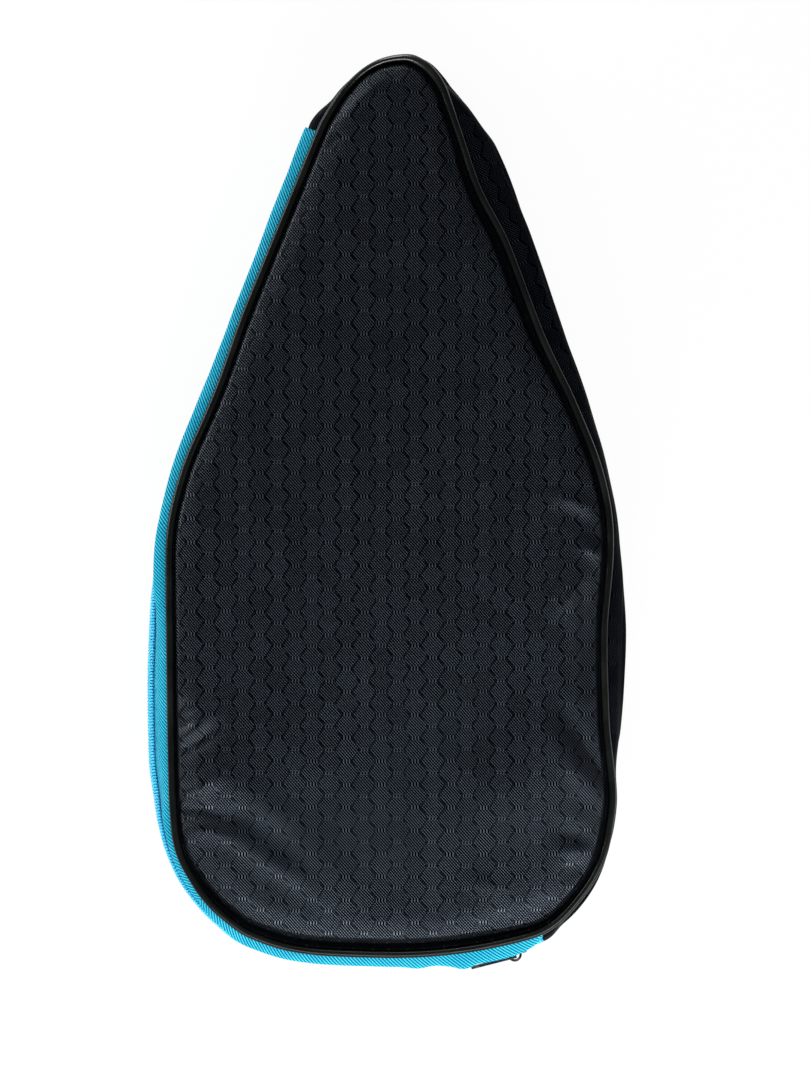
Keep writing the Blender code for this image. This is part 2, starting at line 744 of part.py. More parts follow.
def main():
    clear_scene()
    point, along = fold_line()
    turn = along.to_track_quat("Z", "Y").to_matrix().to_4x4()
    hinge = axis_empty("flap_fold_axis", Matrix.Translation(point) @ turn)
    centre = axis_empty("slider_path_centre", Matrix.Translation(ARC_CENTRE))
    make_back()
    make_front(hinge)
    make_spine()
    make_zipper(hinge)
    slider = make_slider(centre)
    make_pull(slider)
    print("flap fold axis through", [round(v, 5) for v in point], "along", [round(v, 5) for v in along])
    print("slider path centre", [round(v, 5) for v in ARC_CENTRE])
    bar_at = slider_frame() @ Vector((0, 0, BAR_HEIGHT))
    print("pull tab axis through", [round(v, 5) for v in bar_at])


main()
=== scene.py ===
# %% [markdown]
# # A soft paddle case
# This lesson dresses a imported model of a zippered paddle case. The model gives the real sizes, the joints and
# the collision shapes. Here each sewn layer is made again as cloth, foam, vinyl or nylon, with its own weave.
# The first cell loads the model and keeps its size.

import math

import bmesh
import bpy
from mathutils import Matrix, Vector, noise


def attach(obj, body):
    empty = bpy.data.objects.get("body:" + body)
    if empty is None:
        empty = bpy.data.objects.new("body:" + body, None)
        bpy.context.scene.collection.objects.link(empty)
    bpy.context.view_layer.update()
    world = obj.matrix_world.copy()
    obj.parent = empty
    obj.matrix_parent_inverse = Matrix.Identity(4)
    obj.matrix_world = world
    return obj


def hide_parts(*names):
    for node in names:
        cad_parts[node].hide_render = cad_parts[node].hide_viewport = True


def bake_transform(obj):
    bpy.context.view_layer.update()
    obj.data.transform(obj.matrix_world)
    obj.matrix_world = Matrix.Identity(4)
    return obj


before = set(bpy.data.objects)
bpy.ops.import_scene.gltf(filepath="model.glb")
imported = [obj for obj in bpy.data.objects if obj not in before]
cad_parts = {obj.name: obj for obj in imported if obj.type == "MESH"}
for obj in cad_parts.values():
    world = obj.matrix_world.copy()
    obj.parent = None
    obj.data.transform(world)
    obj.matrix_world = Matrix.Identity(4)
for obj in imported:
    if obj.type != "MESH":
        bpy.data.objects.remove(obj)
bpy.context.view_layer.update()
MM = 0.001

# %% [markdown]
# ## Camera
# The case is seen from straight above, with its tip up. A long lens from three metres keeps the side walls
# from leaning, as in a catalogue picture. The lens follows from the height of the frame at the front seam.

# %% Camera
FRONT_SEAM_Z = 38.8 * MM
VIEW_DISTANCE = 3.0
VIEW_HEIGHT = 544.3 * MM
VIEW_CENTRE = (7.8 * MM, -16.4 * MM)
camera_data = bpy.data.cameras.new("camera")
camera = bpy.data.objects.new("camera", camera_data)
bpy.context.scene.collection.objects.link(camera)
camera.location = (*VIEW_CENTRE, FRONT_SEAM_Z + VIEW_DISTANCE)
camera_data.lens = camera_data.sensor_width * VIEW_DISTANCE / VIEW_HEIGHT
bpy.context.scene.camera = camera
print("lens:", round(camera_data.lens, 1), "mm")

# %% [markdown]
# ## The seam
# Every layer hangs on one line, the seam that runs round the case. It is made of straight runs and arcs, so a
# place on it is found by walking: so far along, so far outside, and so high. The front seam was pulled a few
# millimetres out of true when the welt was sewn in, and the wall swells by a different amount all the way
# round. On the zipper's side the wall also leans out towards the floor, so that its teeth show from above. All
# three are given at a few landmarks and eased between them, which is how a fitter would note them down.

# %% Runs of the seam
PANEL_LENGTH = 452 * MM
PANEL_WIDTH = 220 * MM
FLANK_TAPER = math.radians(22.3)
TIP_RADIUS = 29 * MM
SHOULDER_RADIUS = 157 * MM
CORNER_RADIUS = 56 * MM
BOTTOM_RADIUS = 250 * MM


def walk(x, y, heading, radius, distance):
    """Go straight on, or turn left on an arc where a radius is given."""
    if radius is None:
        return x + distance * math.cos(heading), y + distance * math.sin(heading), heading
    turned = heading + distance / radius
    x += radius * (math.sin(turned) - math.sin(heading))
    y -= radius * (math.cos(turned) - math.cos(heading))
    return x, y, turned


def lay_out_seam():
    """The seam's runs, each as (start, length, radius, x, y, heading), from the tip down the left side."""
    half = PANEL_WIDTH / 2
    corner_turn = math.acos((half - CORNER_RADIUS) / (BOTTOM_RADIUS - CORNER_RADIUS))
    shoulder_in = SHOULDER_RADIUS * (1 - math.cos(FLANK_TAPER))
    flank = (half - TIP_RADIUS * math.cos(FLANK_TAPER) - shoulder_in) / math.sin(FLANK_TAPER)
    used = TIP_RADIUS * (1 - math.sin(FLANK_TAPER)) + flank * math.cos(FLANK_TAPER)
    used += SHOULDER_RADIUS * math.sin(FLANK_TAPER)
    used += CORNER_RADIUS * math.sin(corner_turn) + BOTTOM_RADIUS * (1 - math.sin(corner_turn))
    down = [
        (TIP_RADIUS * (math.pi / 2 - FLANK_TAPER), TIP_RADIUS),
        (flank, None),
        (SHOULDER_RADIUS * FLANK_TAPER, SHOULDER_RADIUS),
        (PANEL_LENGTH - used, None),
        (CORNER_RADIUS * corner_turn, CORNER_RADIUS),
        (BOTTOM_RADIUS * (math.pi / 2 - corner_turn), BOTTOM_RADIUS),
    ]
    runs = []
    x, y, heading, start = 0.0, PANEL_LENGTH / 2, math.pi, 0.0
    for length, radius in down + down[::-1]:
        runs.append((start, length, radius, x, y, heading))
        x, y, heading = walk(x, y, heading, radius, length)
        start += length
    return runs


SEAM = lay_out_seam()
ROUND = SEAM[-1][0] + SEAM[-1][1]
BOTTOM_MIDDLE = SEAM[len(SEAM) // 2][0]
print("seam:", round(ROUND / MM), "mm round")


# %% Places and values along the seam
def seam_at(along):
    """Where the seam is after this much of its length, and its heading there."""
    along %= ROUND
    start, _, radius, x, y, heading = [run for run in SEAM if run[0] <= along][-1]
    return walk(x, y, heading, radius, along - start)


def smooth_step(share):
    share = min(1.0, max(0.0, share))
    return share * share * (3 - 2 * share)


def mark_slope(marks, number):
    """How steeply a value passes a landmark. It is level at a high or low point."""
    if number in (0, len(marks) - 1):
        return 0.0
    (a, low), (b, value), (c, high) = marks[number - 1 : number + 2]
    before, after = (value - low) / (b - a), (high - value) / (c - b)
    return 2 * before * after / (before + after) if before * after > 0 else 0.0


KNOWN = {}


def eased(marks, along):
    """A value noted in millimetres at landmarks along the seam, on a smooth curve through them."""
    key = (id(marks), along)
    if key not in KNOWN:
        along = along % ROUND / MM
        number = max(i for i, (place, _) in enumerate(marks[:-1]) if place <= along)
        (low, start), (high, stop) = marks[number : number + 2]
        width = high - low
        t = (along - low) / width
        value = start + (stop - start) * smooth_step(t)
        value += mark_slope(marks, number) * width * t * (1 - t) ** 2
        value -= mark_slope(marks, number + 1) * width * t * t * (1 - t)
        KNOWN[key] = value * MM
    return KNOWN[key]


print("bottom:", [round(v / MM, 1) for v in seam_at(BOTTOM_MIDDLE)[:2]], "mm")

# %% How the seam wanders and the wall swells
END = ROUND / MM + 0.01
SEAM_DRIFT = [
    (0, 0.8), (12, 1.1), (30, -0.5), (55, 0.8), (150, 0.6), (198, -1.3), (242, 0), (275, 1.3), (345, 0.7), (401, -0.3),
    (432, -2.6), (451, -4.2), (474, -3.2), (493, -0.3), (512, 1.1), (555, -0.6), (615, -0.1), (639, 0.2),
    (668, -2.1), (700, 0), (722, 2.5), (761, -0.9), (801, -1.9), (842, 1.1), (870, 2.1), (921, 1.9), (960, 0),
    (1010, 1.2), (1042, -1.5), (1078, 0.4), (1104, -1.5), (1116, -0.6), (END, 0.8),
]
WALL_SWELL = [
    (0, 2.6), (22, 2.2), (36, 3.0), (48, 6.3), (58, 4.6), (66, 4.4), (80, 4.0), (100, 4.0), (116, 3.4), (130, 3.1),
    (165, 3.0), (180, 3.7), (200, 4.1), (215, 3.9), (235, 3.4), (250, 3.2), (264, 4.1), (272, 5.2), (288, 7.0),
    (304, 8.7), (320, 9.4), (348, 10.2), (384, 9.6), (408, 6.7), (416, 5.6), (424, 3.8), (440, 1.4), (458, 0.5),
    (474, 1.5), (490, 4.3), (640, 4.3), (652, 3), (672, 1.9), (690, 1.6), (708, 2.9), (730, 2.6), (756, 7.0),
    (780, 8.9), (804, 9.8), (828, 8.4), (852, 5.2), (876, 4.4), (900, 6.0), (924, 8.6), (948, 11), (984, 13.2),
    (1008, 14), (1044, 16), (1058, 15.5), (1070, 12.6), (1082, 8.9), (1089, 6.0), (1097, 2.6), (1106, 1.6), (END, 2.4),
]
WALL_LEAN = [(0, 0), (280, 0), (325, 2.2), (395, 2.2), (425, 0.4), (445, -0.6), (470, -0.4), (488, 0), (END, 0)]
print("landmarks:", len(SEAM_DRIFT), "of drift,", len(WALL_SWELL), "of swell,", len(WALL_LEAN), "of lean")

# %% A point beside the seam
BACK_SEAM_Z = 2.8 * MM
MIDDLE_Z = (BACK_SEAM_Z + FRONT_SEAM_Z) / 2
SLIDER_HALF = 5.6 * MM
DRIFT_RISE = 9 * MM
TIP_LEAN = 8 * MM
LEAN_LENGTH = 36 * MM


def spot(along, out, z):
    """The point this far along the seam and outside it, at this height. The front drifts above the slider's path."""
    x, y, heading = seam_at(along)
    share = min(1.0, max(-1.0, (MIDDLE_Z - z) / (FRONT_SEAM_Z - MIDDLE_Z)))
    out += eased(WALL_LEAN, along) * math.sin(math.pi * share)
    out += eased(SEAM_DRIFT, along) * smooth_step((z - MIDDLE_Z - SLIDER_HALF) / (DRIFT_RISE - SLIDER_HALF))
    x += out * math.sin(heading)
    y -= out * math.cos(heading)
    rise = max(0.0, 1 - (PANEL_LENGTH / 2 - y) / LEAN_LENGTH)
    return Vector((x + TIP_LEAN * rise * rise, y, z))


print("tip:", [round(v / MM, 1) for v in spot(0, 0, FRONT_SEAM_Z)], "mm")

# %% [markdown]
# ## Drawing cloth
# Piping, binding, tape and gusset all have one section that is drawn along the seam, and a panel is the seam's
# own loop drawn inwards. Blender could do the first with a curve and a bevel, but the weave has to follow the
# cloth, so each point must know where it lies on it. Here the last ring of edges is extruded and moved to its
# next place, and every point keeps its ring and its place in the ring for the UV map.

# %% Drawing rings
def draw_rings(rings):
    """Extrude a closed ring of edges from place to place. Gives the mesh, its first and its last edges."""
    bm = bmesh.new()
    order = bm.verts.layers.int.new("order")
    row = bm.verts.layers.int.new("row")
    edges = []
    for number, points in enumerate(rings):
        if not edges:
            ring = [bm.verts.new(point) for point in points]
            for i, vert in enumerate(ring):
                vert[order] = i
            edges = [bm.edges.new((ring[i - 1], ring[i])) for i in range(len(ring))]
            first_edges = edges
        else:
            grown = bmesh.ops.extrude_edge_only(bm, edges=edges)["geom"]
            ring = [item for item in grown if isinstance(item, bmesh.types.BMVert)]
            new = set(ring)
            edges = [item for item in grown if isinstance(item, bmesh.types.BMEdge) and set(item.verts) <= new]
        for vert in ring:
            vert.co = points[vert[order]]
            vert[row] = number
    return bm, first_edges, edges


def named_object(name, bm):
    mesh = bpy.data.meshes.new(name)
    bm.to_mesh(mesh)
    bm.free()
    made = bpy.data.objects.new(name, mesh)
    bpy.context.scene.collection.objects.link(made)
    mesh.shade_smooth()
    return made


def steps_between(first, last, step):
    count = max(1, round((last - first) / step))
    return [first + (last - first) * i / count for i in range(count + 1)]


RING_STEP = 2.2 * MM
ALL_ROUND = steps_between(0, ROUND, RING_STEP)[:-1]
print("places round the seam:", len(ALL_ROUND))


# %% Sweeping a section along the seam
def across_lengths(points):
    """How far each point of a section lies from its first one, over the cloth."""
    lengths = [0.0]
    for here, following in zip(points, points[1:]):
        lengths.append(lengths[-1] + (following - here).length)
    return lengths


def sweep(name, section_at, alongs, closed=False):
    """Draw a closed section through these places on the seam, and cap its ends or join them."""
    rings = [[spot(along, out, z) for out, z in section_at(along)] for along in alongs]
    lengths = [across_lengths(points) for points in rings]
    bm, first_edges, last_edges = draw_rings(rings)
    if closed:
        bmesh.ops.bridge_loops(bm, edges=first_edges + last_edges)
    else:
        bmesh.ops.holes_fill(bm, edges=first_edges + last_edges, sides=0)
    bmesh.ops.recalc_face_normals(bm, faces=bm.faces)
    order = bm.verts.layers.int["order"]
    row = bm.verts.layers.int["row"]
    uv = bm.loops.layers.uv.new("cloth")
    for face in bm.faces:
        rows = [corner.vert[row] for corner in face.loops]
        wraps = max(rows) - min(rows) > 1
        for corner in face.loops:
            here = corner.vert[row]
            along = alongs[here] + (ROUND if wraps and here == 0 else 0)
            corner[uv].uv = (along, lengths[here][corner.vert[order]])
    made = named_object(name, bm)
    print(name, len(made.data.polygons), "faces")
    return made


print("sweep ready, for", len(ALL_ROUND), "places at most")

# %% [markdown]
# ## The front layers
# With the zipper open, the front of the case peels back along the line between the zipper's ends. One piece of
# cloth crosses that line, so it can't be cut there. Here each front layer only has its placement baked into its
# points: it is not bent beside the line and doesn't follow the flap.


def bend_with_flap(piece):
    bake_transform(piece)


# %% [markdown]
# ## Welts
# The glossy edge of each panel is a welt: a round vinyl bead with a flat flange, which is sewn between the
# panel and the side wall. The flange runs inwards at 45 degrees with the seam allowances on both its sides.
# A bevelled curve would give the bead, but the flange has to turn with it, so the whole section is swept.

# %% Welts
BEAD_RADIUS = 1.8 * MM
FLANGE = 0.8 * MM
ALLOWANCE = 9 * MM
GAP = 0.3 * MM
FABRIC = 0.8 * MM
BEAD_SIDES = 15
BACK = (BACK_SEAM_Z, -1)
FRONT = (FRONT_SEAM_Z, 1)
FACE_ACROSS = FLANGE / 2 + GAP
BACK_ACROSS = FACE_ACROSS + FABRIC
BEAD_CLEAR = BEAD_RADIUS + GAP
TURN_START = math.sqrt(BEAD_CLEAR**2 - FACE_ACROSS**2)
TURN_INSIDE = TURN_START + FABRIC


def turned_in(wall, inwards, across):
    """A point of the seam allowance, which runs in at 45 degrees: across is positive on the panel's side."""
    seam_z, up = wall
    diagonal = math.sqrt(0.5)
    return -(inwards + across) * diagonal, seam_z + up * (across - inwards) * diagonal


def welt_section(wall):
    half = math.asin(FLANGE / 2 / BEAD_RADIUS)
    turn = 2 * math.pi - 2 * half
    bead = [half + turn * i / BEAD_SIDES for i in range(BEAD_SIDES + 1)]
    points = [turned_in(wall, ALLOWANCE, -FLANGE / 2), turned_in(wall, ALLOWANCE, FLANGE / 2)]
    return points + [turned_in(wall, BEAD_RADIUS * math.cos(a), BEAD_RADIUS * math.sin(a)) for a in bead]


welt_front = sweep("welt_front", lambda along: welt_section(FRONT), ALL_ROUND, closed=True)
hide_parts("front_piping", "flap_piping")
bend_with_flap(welt_front)
welt_back = sweep("welt_back", lambda along: welt_section(BACK), ALL_ROUND, closed=True)
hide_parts("back_piping")
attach(welt_back, "case")

# %% [markdown]
# ## Seam bindings
# Inside the case the raw edges of each seam are covered by a tape that is folded over them. It is a narrow
# sheet, so its section is a flat hook, swept along the seam like the welt.

# %% Seam bindings
BINDING = 0.5 * MM
BINDING_WIDTH = 4 * MM


def binding_section(wall):
    near = BACK_ACROSS + GAP
    far = near + BINDING
    inner_end = ALLOWANCE + GAP
    outer_end = inner_end + BINDING
    start = outer_end - BINDING_WIDTH
    corners = [(start, far), (outer_end, far), (outer_end, -far), (start, -far)]
    corners += [(start, -near), (inner_end, -near), (inner_end, near), (start, near)]
    return [turned_in(wall, inwards, across) for inwards, across in corners]


binding_tape_front = sweep("binding_tape_front", lambda along: binding_section(FRONT), ALL_ROUND, closed=True)
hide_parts("front_binding", "flap_binding")
bend_with_flap(binding_tape_front)
binding_tape_back = sweep("binding_tape_back", lambda along: binding_section(BACK), ALL_ROUND, closed=True)
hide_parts("back_binding")
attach(binding_tape_back, "case")

# %% [markdown]
# ## Folds of the front
# The front isn't flat. Where the welt holds the cloth a little short, puckers run in from the seam, and a few
# broad folds cross the panel. A cloth simulation would make folds of its own, in other places, so each fold
# that the real case shows is listed: a path in millimetres, a width and a height, hollow where negative.

# %% Folds of the front
FOLDS = [
    ([(-107, -103), (-96, -99)], 4, 1.7),
    ([(-106, -112), (-97, -106)], 3.5, -1.7),
    ([(-107, -118), (-93, -106)], 4, 2.5),
    ([(-106, -124), (-94, -117), (-85, -110)], 4, -2.2),
    ([(-105, -136), (-88, -133), (-70, -144), (-52, -158), (-34, -180), (-22, -195)], 8, 2.4),
    ([(-107, -145), (-97, -142), (-89, -137)], 4, 2.4),
    ([(-107, -151), (-93, -154), (-78, -158)], 4.5, -3.0),
    ([(-105, -164), (-91, -160), (-77, -166), (-61, -178), (-44, -187), (-32, -199)], 5.5, 2.9),
    ([(-104, -172), (-94, -187), (-78, -202), (-56, -212)], 6, -2.0),
    ([(-90, -108), (-66, -127), (-40, -152)], 25, 3.2),
    ([(40, -152), (66, -137), (86, -112)], 25, 3.4),
    ([(83, 8), (101, -1)], 3, 2.0),
    ([(84, -2), (101, -10)], 4, -1.2),
    ([(96, -18), (109, -26)], 3, 2.2),
    ([(83, -52), (97, -37)], 4, 1.8),
    ([(98, -41), (99, -67), (100, -92)], 4, -2.6),
    ([(92, -34), (90, -47), (91, -72)], 6, 1.4),
    ([(80, -109), (92, -131), (106, -146)], 5.5, 2.9),
    ([(89, -101), (100, -123), (109, -139)], 4, -2.3),
    ([(86, -162), (101, -169)], 5, -1.7),
    ([(87, -172), (98, -173)], 4, 1.3),
    ([(86, -186), (98, -179)], 5, -1.7),
    ([(46, -210), (71, -207), (86, -195)], 7, -2.0),
    ([(41, -188), (58, -192)], 4, 1.0),
    ([(-6, 214), (-16, 204), (-26, 192)], 3.5, 1.7),
    ([(-29, 186), (-27, 183)], 4, -1.3),
    ([(26, 195), (30, 180), (33, 168)], 4, -1.7),
    ([(31, 197), (36, 180)], 3, 0.9),
]
print("folds:", len(FOLDS))

# %% Height of the front over its plain crown
FOLD_REACH = 3
FOLD_END = 0.4
UNDULATIONS = [(0.7, 11, 8), (0.22, 45, 38)]
UNDULATION_SLICE = 3.7


def fold_height(x, y, path, width, height):
    """One fold: a rounded ridge that is strongest in the middle of its path and dies out at its ends."""
    reach = FOLD_REACH * width
    if not min(p[0] for p in path) - reach < x < max(p[0] for p in path) + reach:
        return 0.0
    if not min(p[1] for p in path) - reach < y < max(p[1] for p in path) + reach:
        return 0.0
    nearest, place = reach, 0.0
    for number, (start, stop) in enumerate(zip(path, path[1:])):
        run_x, run_y = stop[0] - start[0], stop[1] - start[1]
        share = ((x - start[0]) * run_x + (y - start[1]) * run_y) / (run_x**2 + run_y**2)
        share = min(1.0, max(0.0, share))
        away = math.hypot(x - start[0] - share * run_x, y - start[1] - share * run_y)
        if away < nearest:
            nearest, place = away, (number + share) / (len(path) - 1)
    strength = FOLD_END + (1 - FOLD_END) * math.sin(math.pi * place)
    return height * math.exp(-((nearest / width) ** 2)) * strength


def relief(place):
    """How far the cloth stands up here over the plain crowned panel."""
    x, y = place.x / MM, place.y / MM
    height = sum(fold_height(x, y, *fold) for fold in FOLDS)
    for swing, across, down in UNDULATIONS:
        height += swing * noise.noise(Vector((place.x * across, place.y * down, UNDULATION_SLICE)))
    return height * MM


print("relief in the middle:", round(relief(Vector((0, 0, 0))) / MM, 2), "mm")

# %% [markdown]
# ## Panels
# A panel is outer cloth, foam and lining. Each is the seam's loop, extruded inwards: first up the seam allowance
# and round the bead, then over the crown row by row, and at last on to the panel's middle line, where the two
# halves are merged. Beside the bead the front dips in a groove and rolls over, as cloth does that is pulled over
# foam. The cloth keeps its flat place as its UV map, so the weave lies straight on it.

# %% Panel rows
CROWN = 4.6 * MM
CROWN_REACH = 14 * MM
BACK_TURN = 5.5 * MM
TUCK = math.radians(8)
GROOVE_SLOPE = 0.36
GROOVE_WIDTH = [
    (0, 1.0), (50, 0.6), (380, 0.5), (425, 0.9), (452, 2.0), (480, 3.2), (520, 4), (600, 4), (640, 2.6), (680, 1.5),
    (760, 0.8), (880, 1.0), (930, 1.8), (1000, 3.6), (1040, 2.8), (1075, 1.6), (1100, 1.0), (END, 1.0),
]
ROLL_HEIGHT = 1.7 * MM
ROLL_WIDTH = 2.2 * MM
FOLD_FADE = 2.5 * MM
MIDDLE_TOP = 188 * MM
MIDDLE_BOTTOM = -112 * MM
CROWN_WIDTH = 24 * MM
ROLL_ROWS = [0.4, 0.8, 1.2, 1.6, 2.0, 2.5, 3.2, 4.2, 5.4, 6.8, 8.4, 10.2, 12.2, 14.4, 16.8, 19.2]
INNER_ROWS = 36
FAR_INSIDE = 1.0


def crown_height(wall, inset, along):
    """How far the panel stands out over its seam here. The front dips beside the bead, rolls over and levels off."""
    inwards = inset - BEAD_CLEAR
    if wall is BACK:
        return BACK_SEAM_Z * math.sin(math.pi / 2 * min(1, inwards / BACK_TURN))
    groove = eased(GROOVE_WIDTH, along)
    past = max(0, inwards - groove)
    rolled = smooth_step(past / ROLL_WIDTH)
    dip = GROOVE_SLOPE * min(inwards, groove) * (1 - rolled)
    return ROLL_HEIGHT * rolled + (CROWN - ROLL_HEIGHT) * math.sin(math.pi / 2 * min(1, past / CROWN_REACH)) - dip


def panel_spot(wall, along, row, depth):
    """A point of the panel on a row, which is a share of the groove and a width past it, this deep under its face."""
    seam_z, up = wall
    inset = BEAD_CLEAR + row[0] * eased(GROOVE_WIDTH, along) + row[1]
    place = spot(along, -inset, seam_z)
    place.z += up * (crown_height(wall, inset, along) - depth)
    if wall is FRONT:
        place.z += relief(place) * smooth_step((inset - BEAD_CLEAR) / FOLD_FADE)
    return place


def inner_row(wall, share, depth):
    """A row between the crown and the panel's middle line."""
    seam_z, up = wall
    level = up * (crown_height(wall, FAR_INSIDE, 0) - depth)
    row = []
    for along in ALL_ROUND:
        outer = spot(along, -BEAD_CLEAR - CROWN_WIDTH, seam_z)
        level_y = spot(along, -BEAD_CLEAR - CROWN_WIDTH, BACK_SEAM_Z).y
        middle = Vector((0, min(MIDDLE_TOP, max(MIDDLE_BOTTOM, level_y)), seam_z))
        place = outer.lerp(middle, share)
        place.z += level + (relief(place) if wall is FRONT else 0)
        row.append(place)
    return row


print("rows of a panel:", len(ROLL_ROWS), "on its roll,", INNER_ROWS, "inside")

# %% Panel sheets
MERGE_DISTANCE = 0.01 * MM


def panel_sheet(wall, edge, rows, depth):
    """Edge points beside the seam, then these rows, then rows to the middle."""
    rings = [[spot(along, out, z) for along in ALL_ROUND] for out, z in edge]
    rings += [[panel_spot(wall, along, row, depth) for along in ALL_ROUND] for row in rows]
    rings += [inner_row(wall, (i + 1) / INNER_ROWS, depth) for i in range(INNER_ROWS)]
    bm, _, _ = draw_rings(rings)
    bmesh.ops.remove_doubles(bm, verts=bm.verts, dist=MERGE_DISTANCE)
    bmesh.ops.recalc_face_normals(bm, faces=bm.faces)
    bm.normal_update()
    # The turned-in edge faces the other way, so the sum over the whole sheet decides which side is out.
    facing = sum(face.calc_area() * face.normal.z for face in bm.faces)
    if facing * wall[1] < 0:
        bmesh.ops.reverse_faces(bm, faces=bm.faces)
    return bm


def panel_object(name, bm):
    uv = bm.loops.layers.uv.new("cloth")
    for face in bm.faces:
        for corner in face.loops:
            corner[uv].uv = corner.vert.co.xy
    made = named_object(name, bm)
    print(name, len(made.data.polygons), "faces")
    return made


def stretch_panel(name, wall, edge, rows, depth, thick):
    """A panel of cloth, whose thickness goes inwards."""
    made = panel_object(name, panel_sheet(wall, edge, rows, depth))
    solid = made.modifiers.new("thickness", "SOLIDIFY")
    solid.thickness = thick
    solid.offset = -1
    return made


print("cloth merges within", MERGE_DISTANCE / MM, "mm")

# %% Outer cloth
COVER_ROWS = [(0.35, 0), (0.7, 0), (1, 0)] + [(1, row * MM) for row in ROLL_ROWS] + [(0, CROWN_WIDTH)]


def cover_edge(wall):
    seam_z, up = wall
    tuck = (-BEAD_CLEAR * math.cos(TUCK), seam_z - up * BEAD_CLEAR * math.sin(TUCK))
    return [turned_in(wall, ALLOWANCE, FACE_ACROSS), turned_in(wall, TURN_START, FACE_ACROSS), tuck]


cover_front = stretch_panel("cover_front", FRONT, cover_edge(FRONT), COVER_ROWS, 0, FABRIC)
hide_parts("front_panel", "flap_panel")
bend_with_flap(cover_front)
cover_back = stretch_panel("cover_back", BACK, cover_edge(BACK), COVER_ROWS, 0, FABRIC)
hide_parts("back_panel")
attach(cover_back, "case")

# %% Foam and lining
FOAM = 4 * MM
LINING = 0.6 * MM
PAD_EDGE = 9.4 * MM
FOAM_DEPTH = FABRIC + GAP
LINING_DEPTH = FOAM_DEPTH + FOAM + GAP
PAD_INSETS = [PAD_EDGE - BEAD_CLEAR, 8.6 * MM, 10.2 * MM, 12 * MM, 14 * MM, 16.4 * MM, 19 * MM, CROWN_WIDTH]
PAD_ROWS = [(0, inset) for inset in PAD_INSETS]
LINING_TURN = 8.8 * MM
LINING_DROP = 5.2 * MM


def lay_foam(name, wall):
    """A pad with both its faces drawn, so that it never pokes through the lining under it."""
    bm = panel_sheet(wall, [], PAD_ROWS, FOAM_DEPTH)
    copied = bmesh.ops.duplicate(bm, geom=bm.verts[:] + bm.edges[:] + bm.faces[:])["geom"]
    inner = [item for item in copied if isinstance(item, bmesh.types.BMVert)]
    bmesh.ops.translate(bm, verts=inner, vec=(0, 0, -wall[1] * FOAM))
    bmesh.ops.reverse_faces(bm, faces=[item for item in copied if isinstance(item, bmesh.types.BMFace)])
    bmesh.ops.bridge_loops(bm, edges=[edge for edge in bm.edges if edge.is_boundary])
    bmesh.ops.recalc_face_normals(bm, faces=bm.faces)
    return panel_object(name, bm)


def lining_edge(wall):
    """The lining turns down to the binding, which hides the foam's edge."""
    seam_z, up = wall
    return [(-LINING_TURN, seam_z - up * LINING_DROP)]


foam_front = lay_foam("foam_front", FRONT)
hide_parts("front_padding", "flap_padding")
lining_front = stretch_panel("lining_front", FRONT, lining_edge(FRONT), PAD_ROWS, LINING_DEPTH, LINING)
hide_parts("front_lining", "flap_lining")
foam_back = lay_foam("foam_back", BACK)
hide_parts("back_padding")
lining_back = stretch_panel("lining_back", BACK, lining_edge(BACK), PAD_ROWS, LINING_DEPTH, LINING)
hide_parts("back_lining")
for piece in (foam_front, lining_front):
    bend_with_flap(piece)
for piece in (foam_back, lining_back):
    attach(piece, "case")

# %% [markdown]
# ## Side wall
# The wall bulges out between the two seams. Its curve is a quarter ellipse from each bead to a flat band in the
# middle. Over the tip and down the right side it is the same black cloth as the panels, and it is fuller there
# than the seam is long, so it lies in small gathers. At both ends it laps over the zipper tape like a cuff.

# %% Curve of the wall
FLAT_BAND = 6 * MM
WALL_STEPS = 20
SEAM_SPACING = FRONT_SEAM_Z - BACK_SEAM_Z
WALL_TALL = SEAM_SPACING / 2 - BEAD_CLEAR - FLAT_BAND


def half_wall(wall, out, depth, first=0):
    """Half of the wall's curve, from under the bead to the flat band, at a depth inside its face."""
    points = []
    for step in range(first, WALL_STEPS + 1):
        angle = math.pi / 2 * step / WALL_STEPS
        height = FLAT_BAND + (WALL_TALL - depth) * math.cos(angle)
        points.append(((out - depth) * math.sin(angle), MIDDLE_Z + wall[1] * height))
    return points


print("half the wall is", round((WALL_TALL + FLAT_BAND) / MM, 1), "mm tall")

# %% Gusset
ZIPPER_START = 55 * MM
ZIPPER_STOP = BOTTOM_MIDDLE + 80 * MM
RUN_STEP = 2 * MM
CUFF_LAP = 3 * MM
CUFF_RISE = 1.5 * MM
CUFF_FADE = 9 * MM
FULL_FROM = 5 * MM
FULL_OVER = 10 * MM
FULL_LEAST = 0.15
GATHERS = [(2.2, 16, 6.5, 1.3), (1.6, 11, 2.5, 7.9)]


def gathers(along, out, z):
    """Small folds of the gusset: they run along the slopes beside its seams, most of all where it is full."""
    full = max(FULL_LEAST, (eased(WALL_SWELL, along) - FULL_FROM) / FULL_OVER)
    steep = math.acos(min(1.0, max(0.0, (abs(z - MIDDLE_Z) - FLAT_BAND) / WALL_TALL)))
    height = sum(swing * noise.noise(Vector((along * run, steep * turn, layer))) for swing, run, turn, layer in GATHERS)
    height *= full * math.sin(2 * steep) * math.cos(steep) * MM
    return out + height * math.sin(steep), z + math.copysign(height * math.cos(steep), z - MIDDLE_Z)


def cuff(along):
    """At its ends the gusset lies over the ends of the zipper tape."""
    to_end = min(along - ZIPPER_STOP, ROUND + ZIPPER_START - along)
    return CUFF_RISE * (1 - smooth_step(to_end / CUFF_FADE))


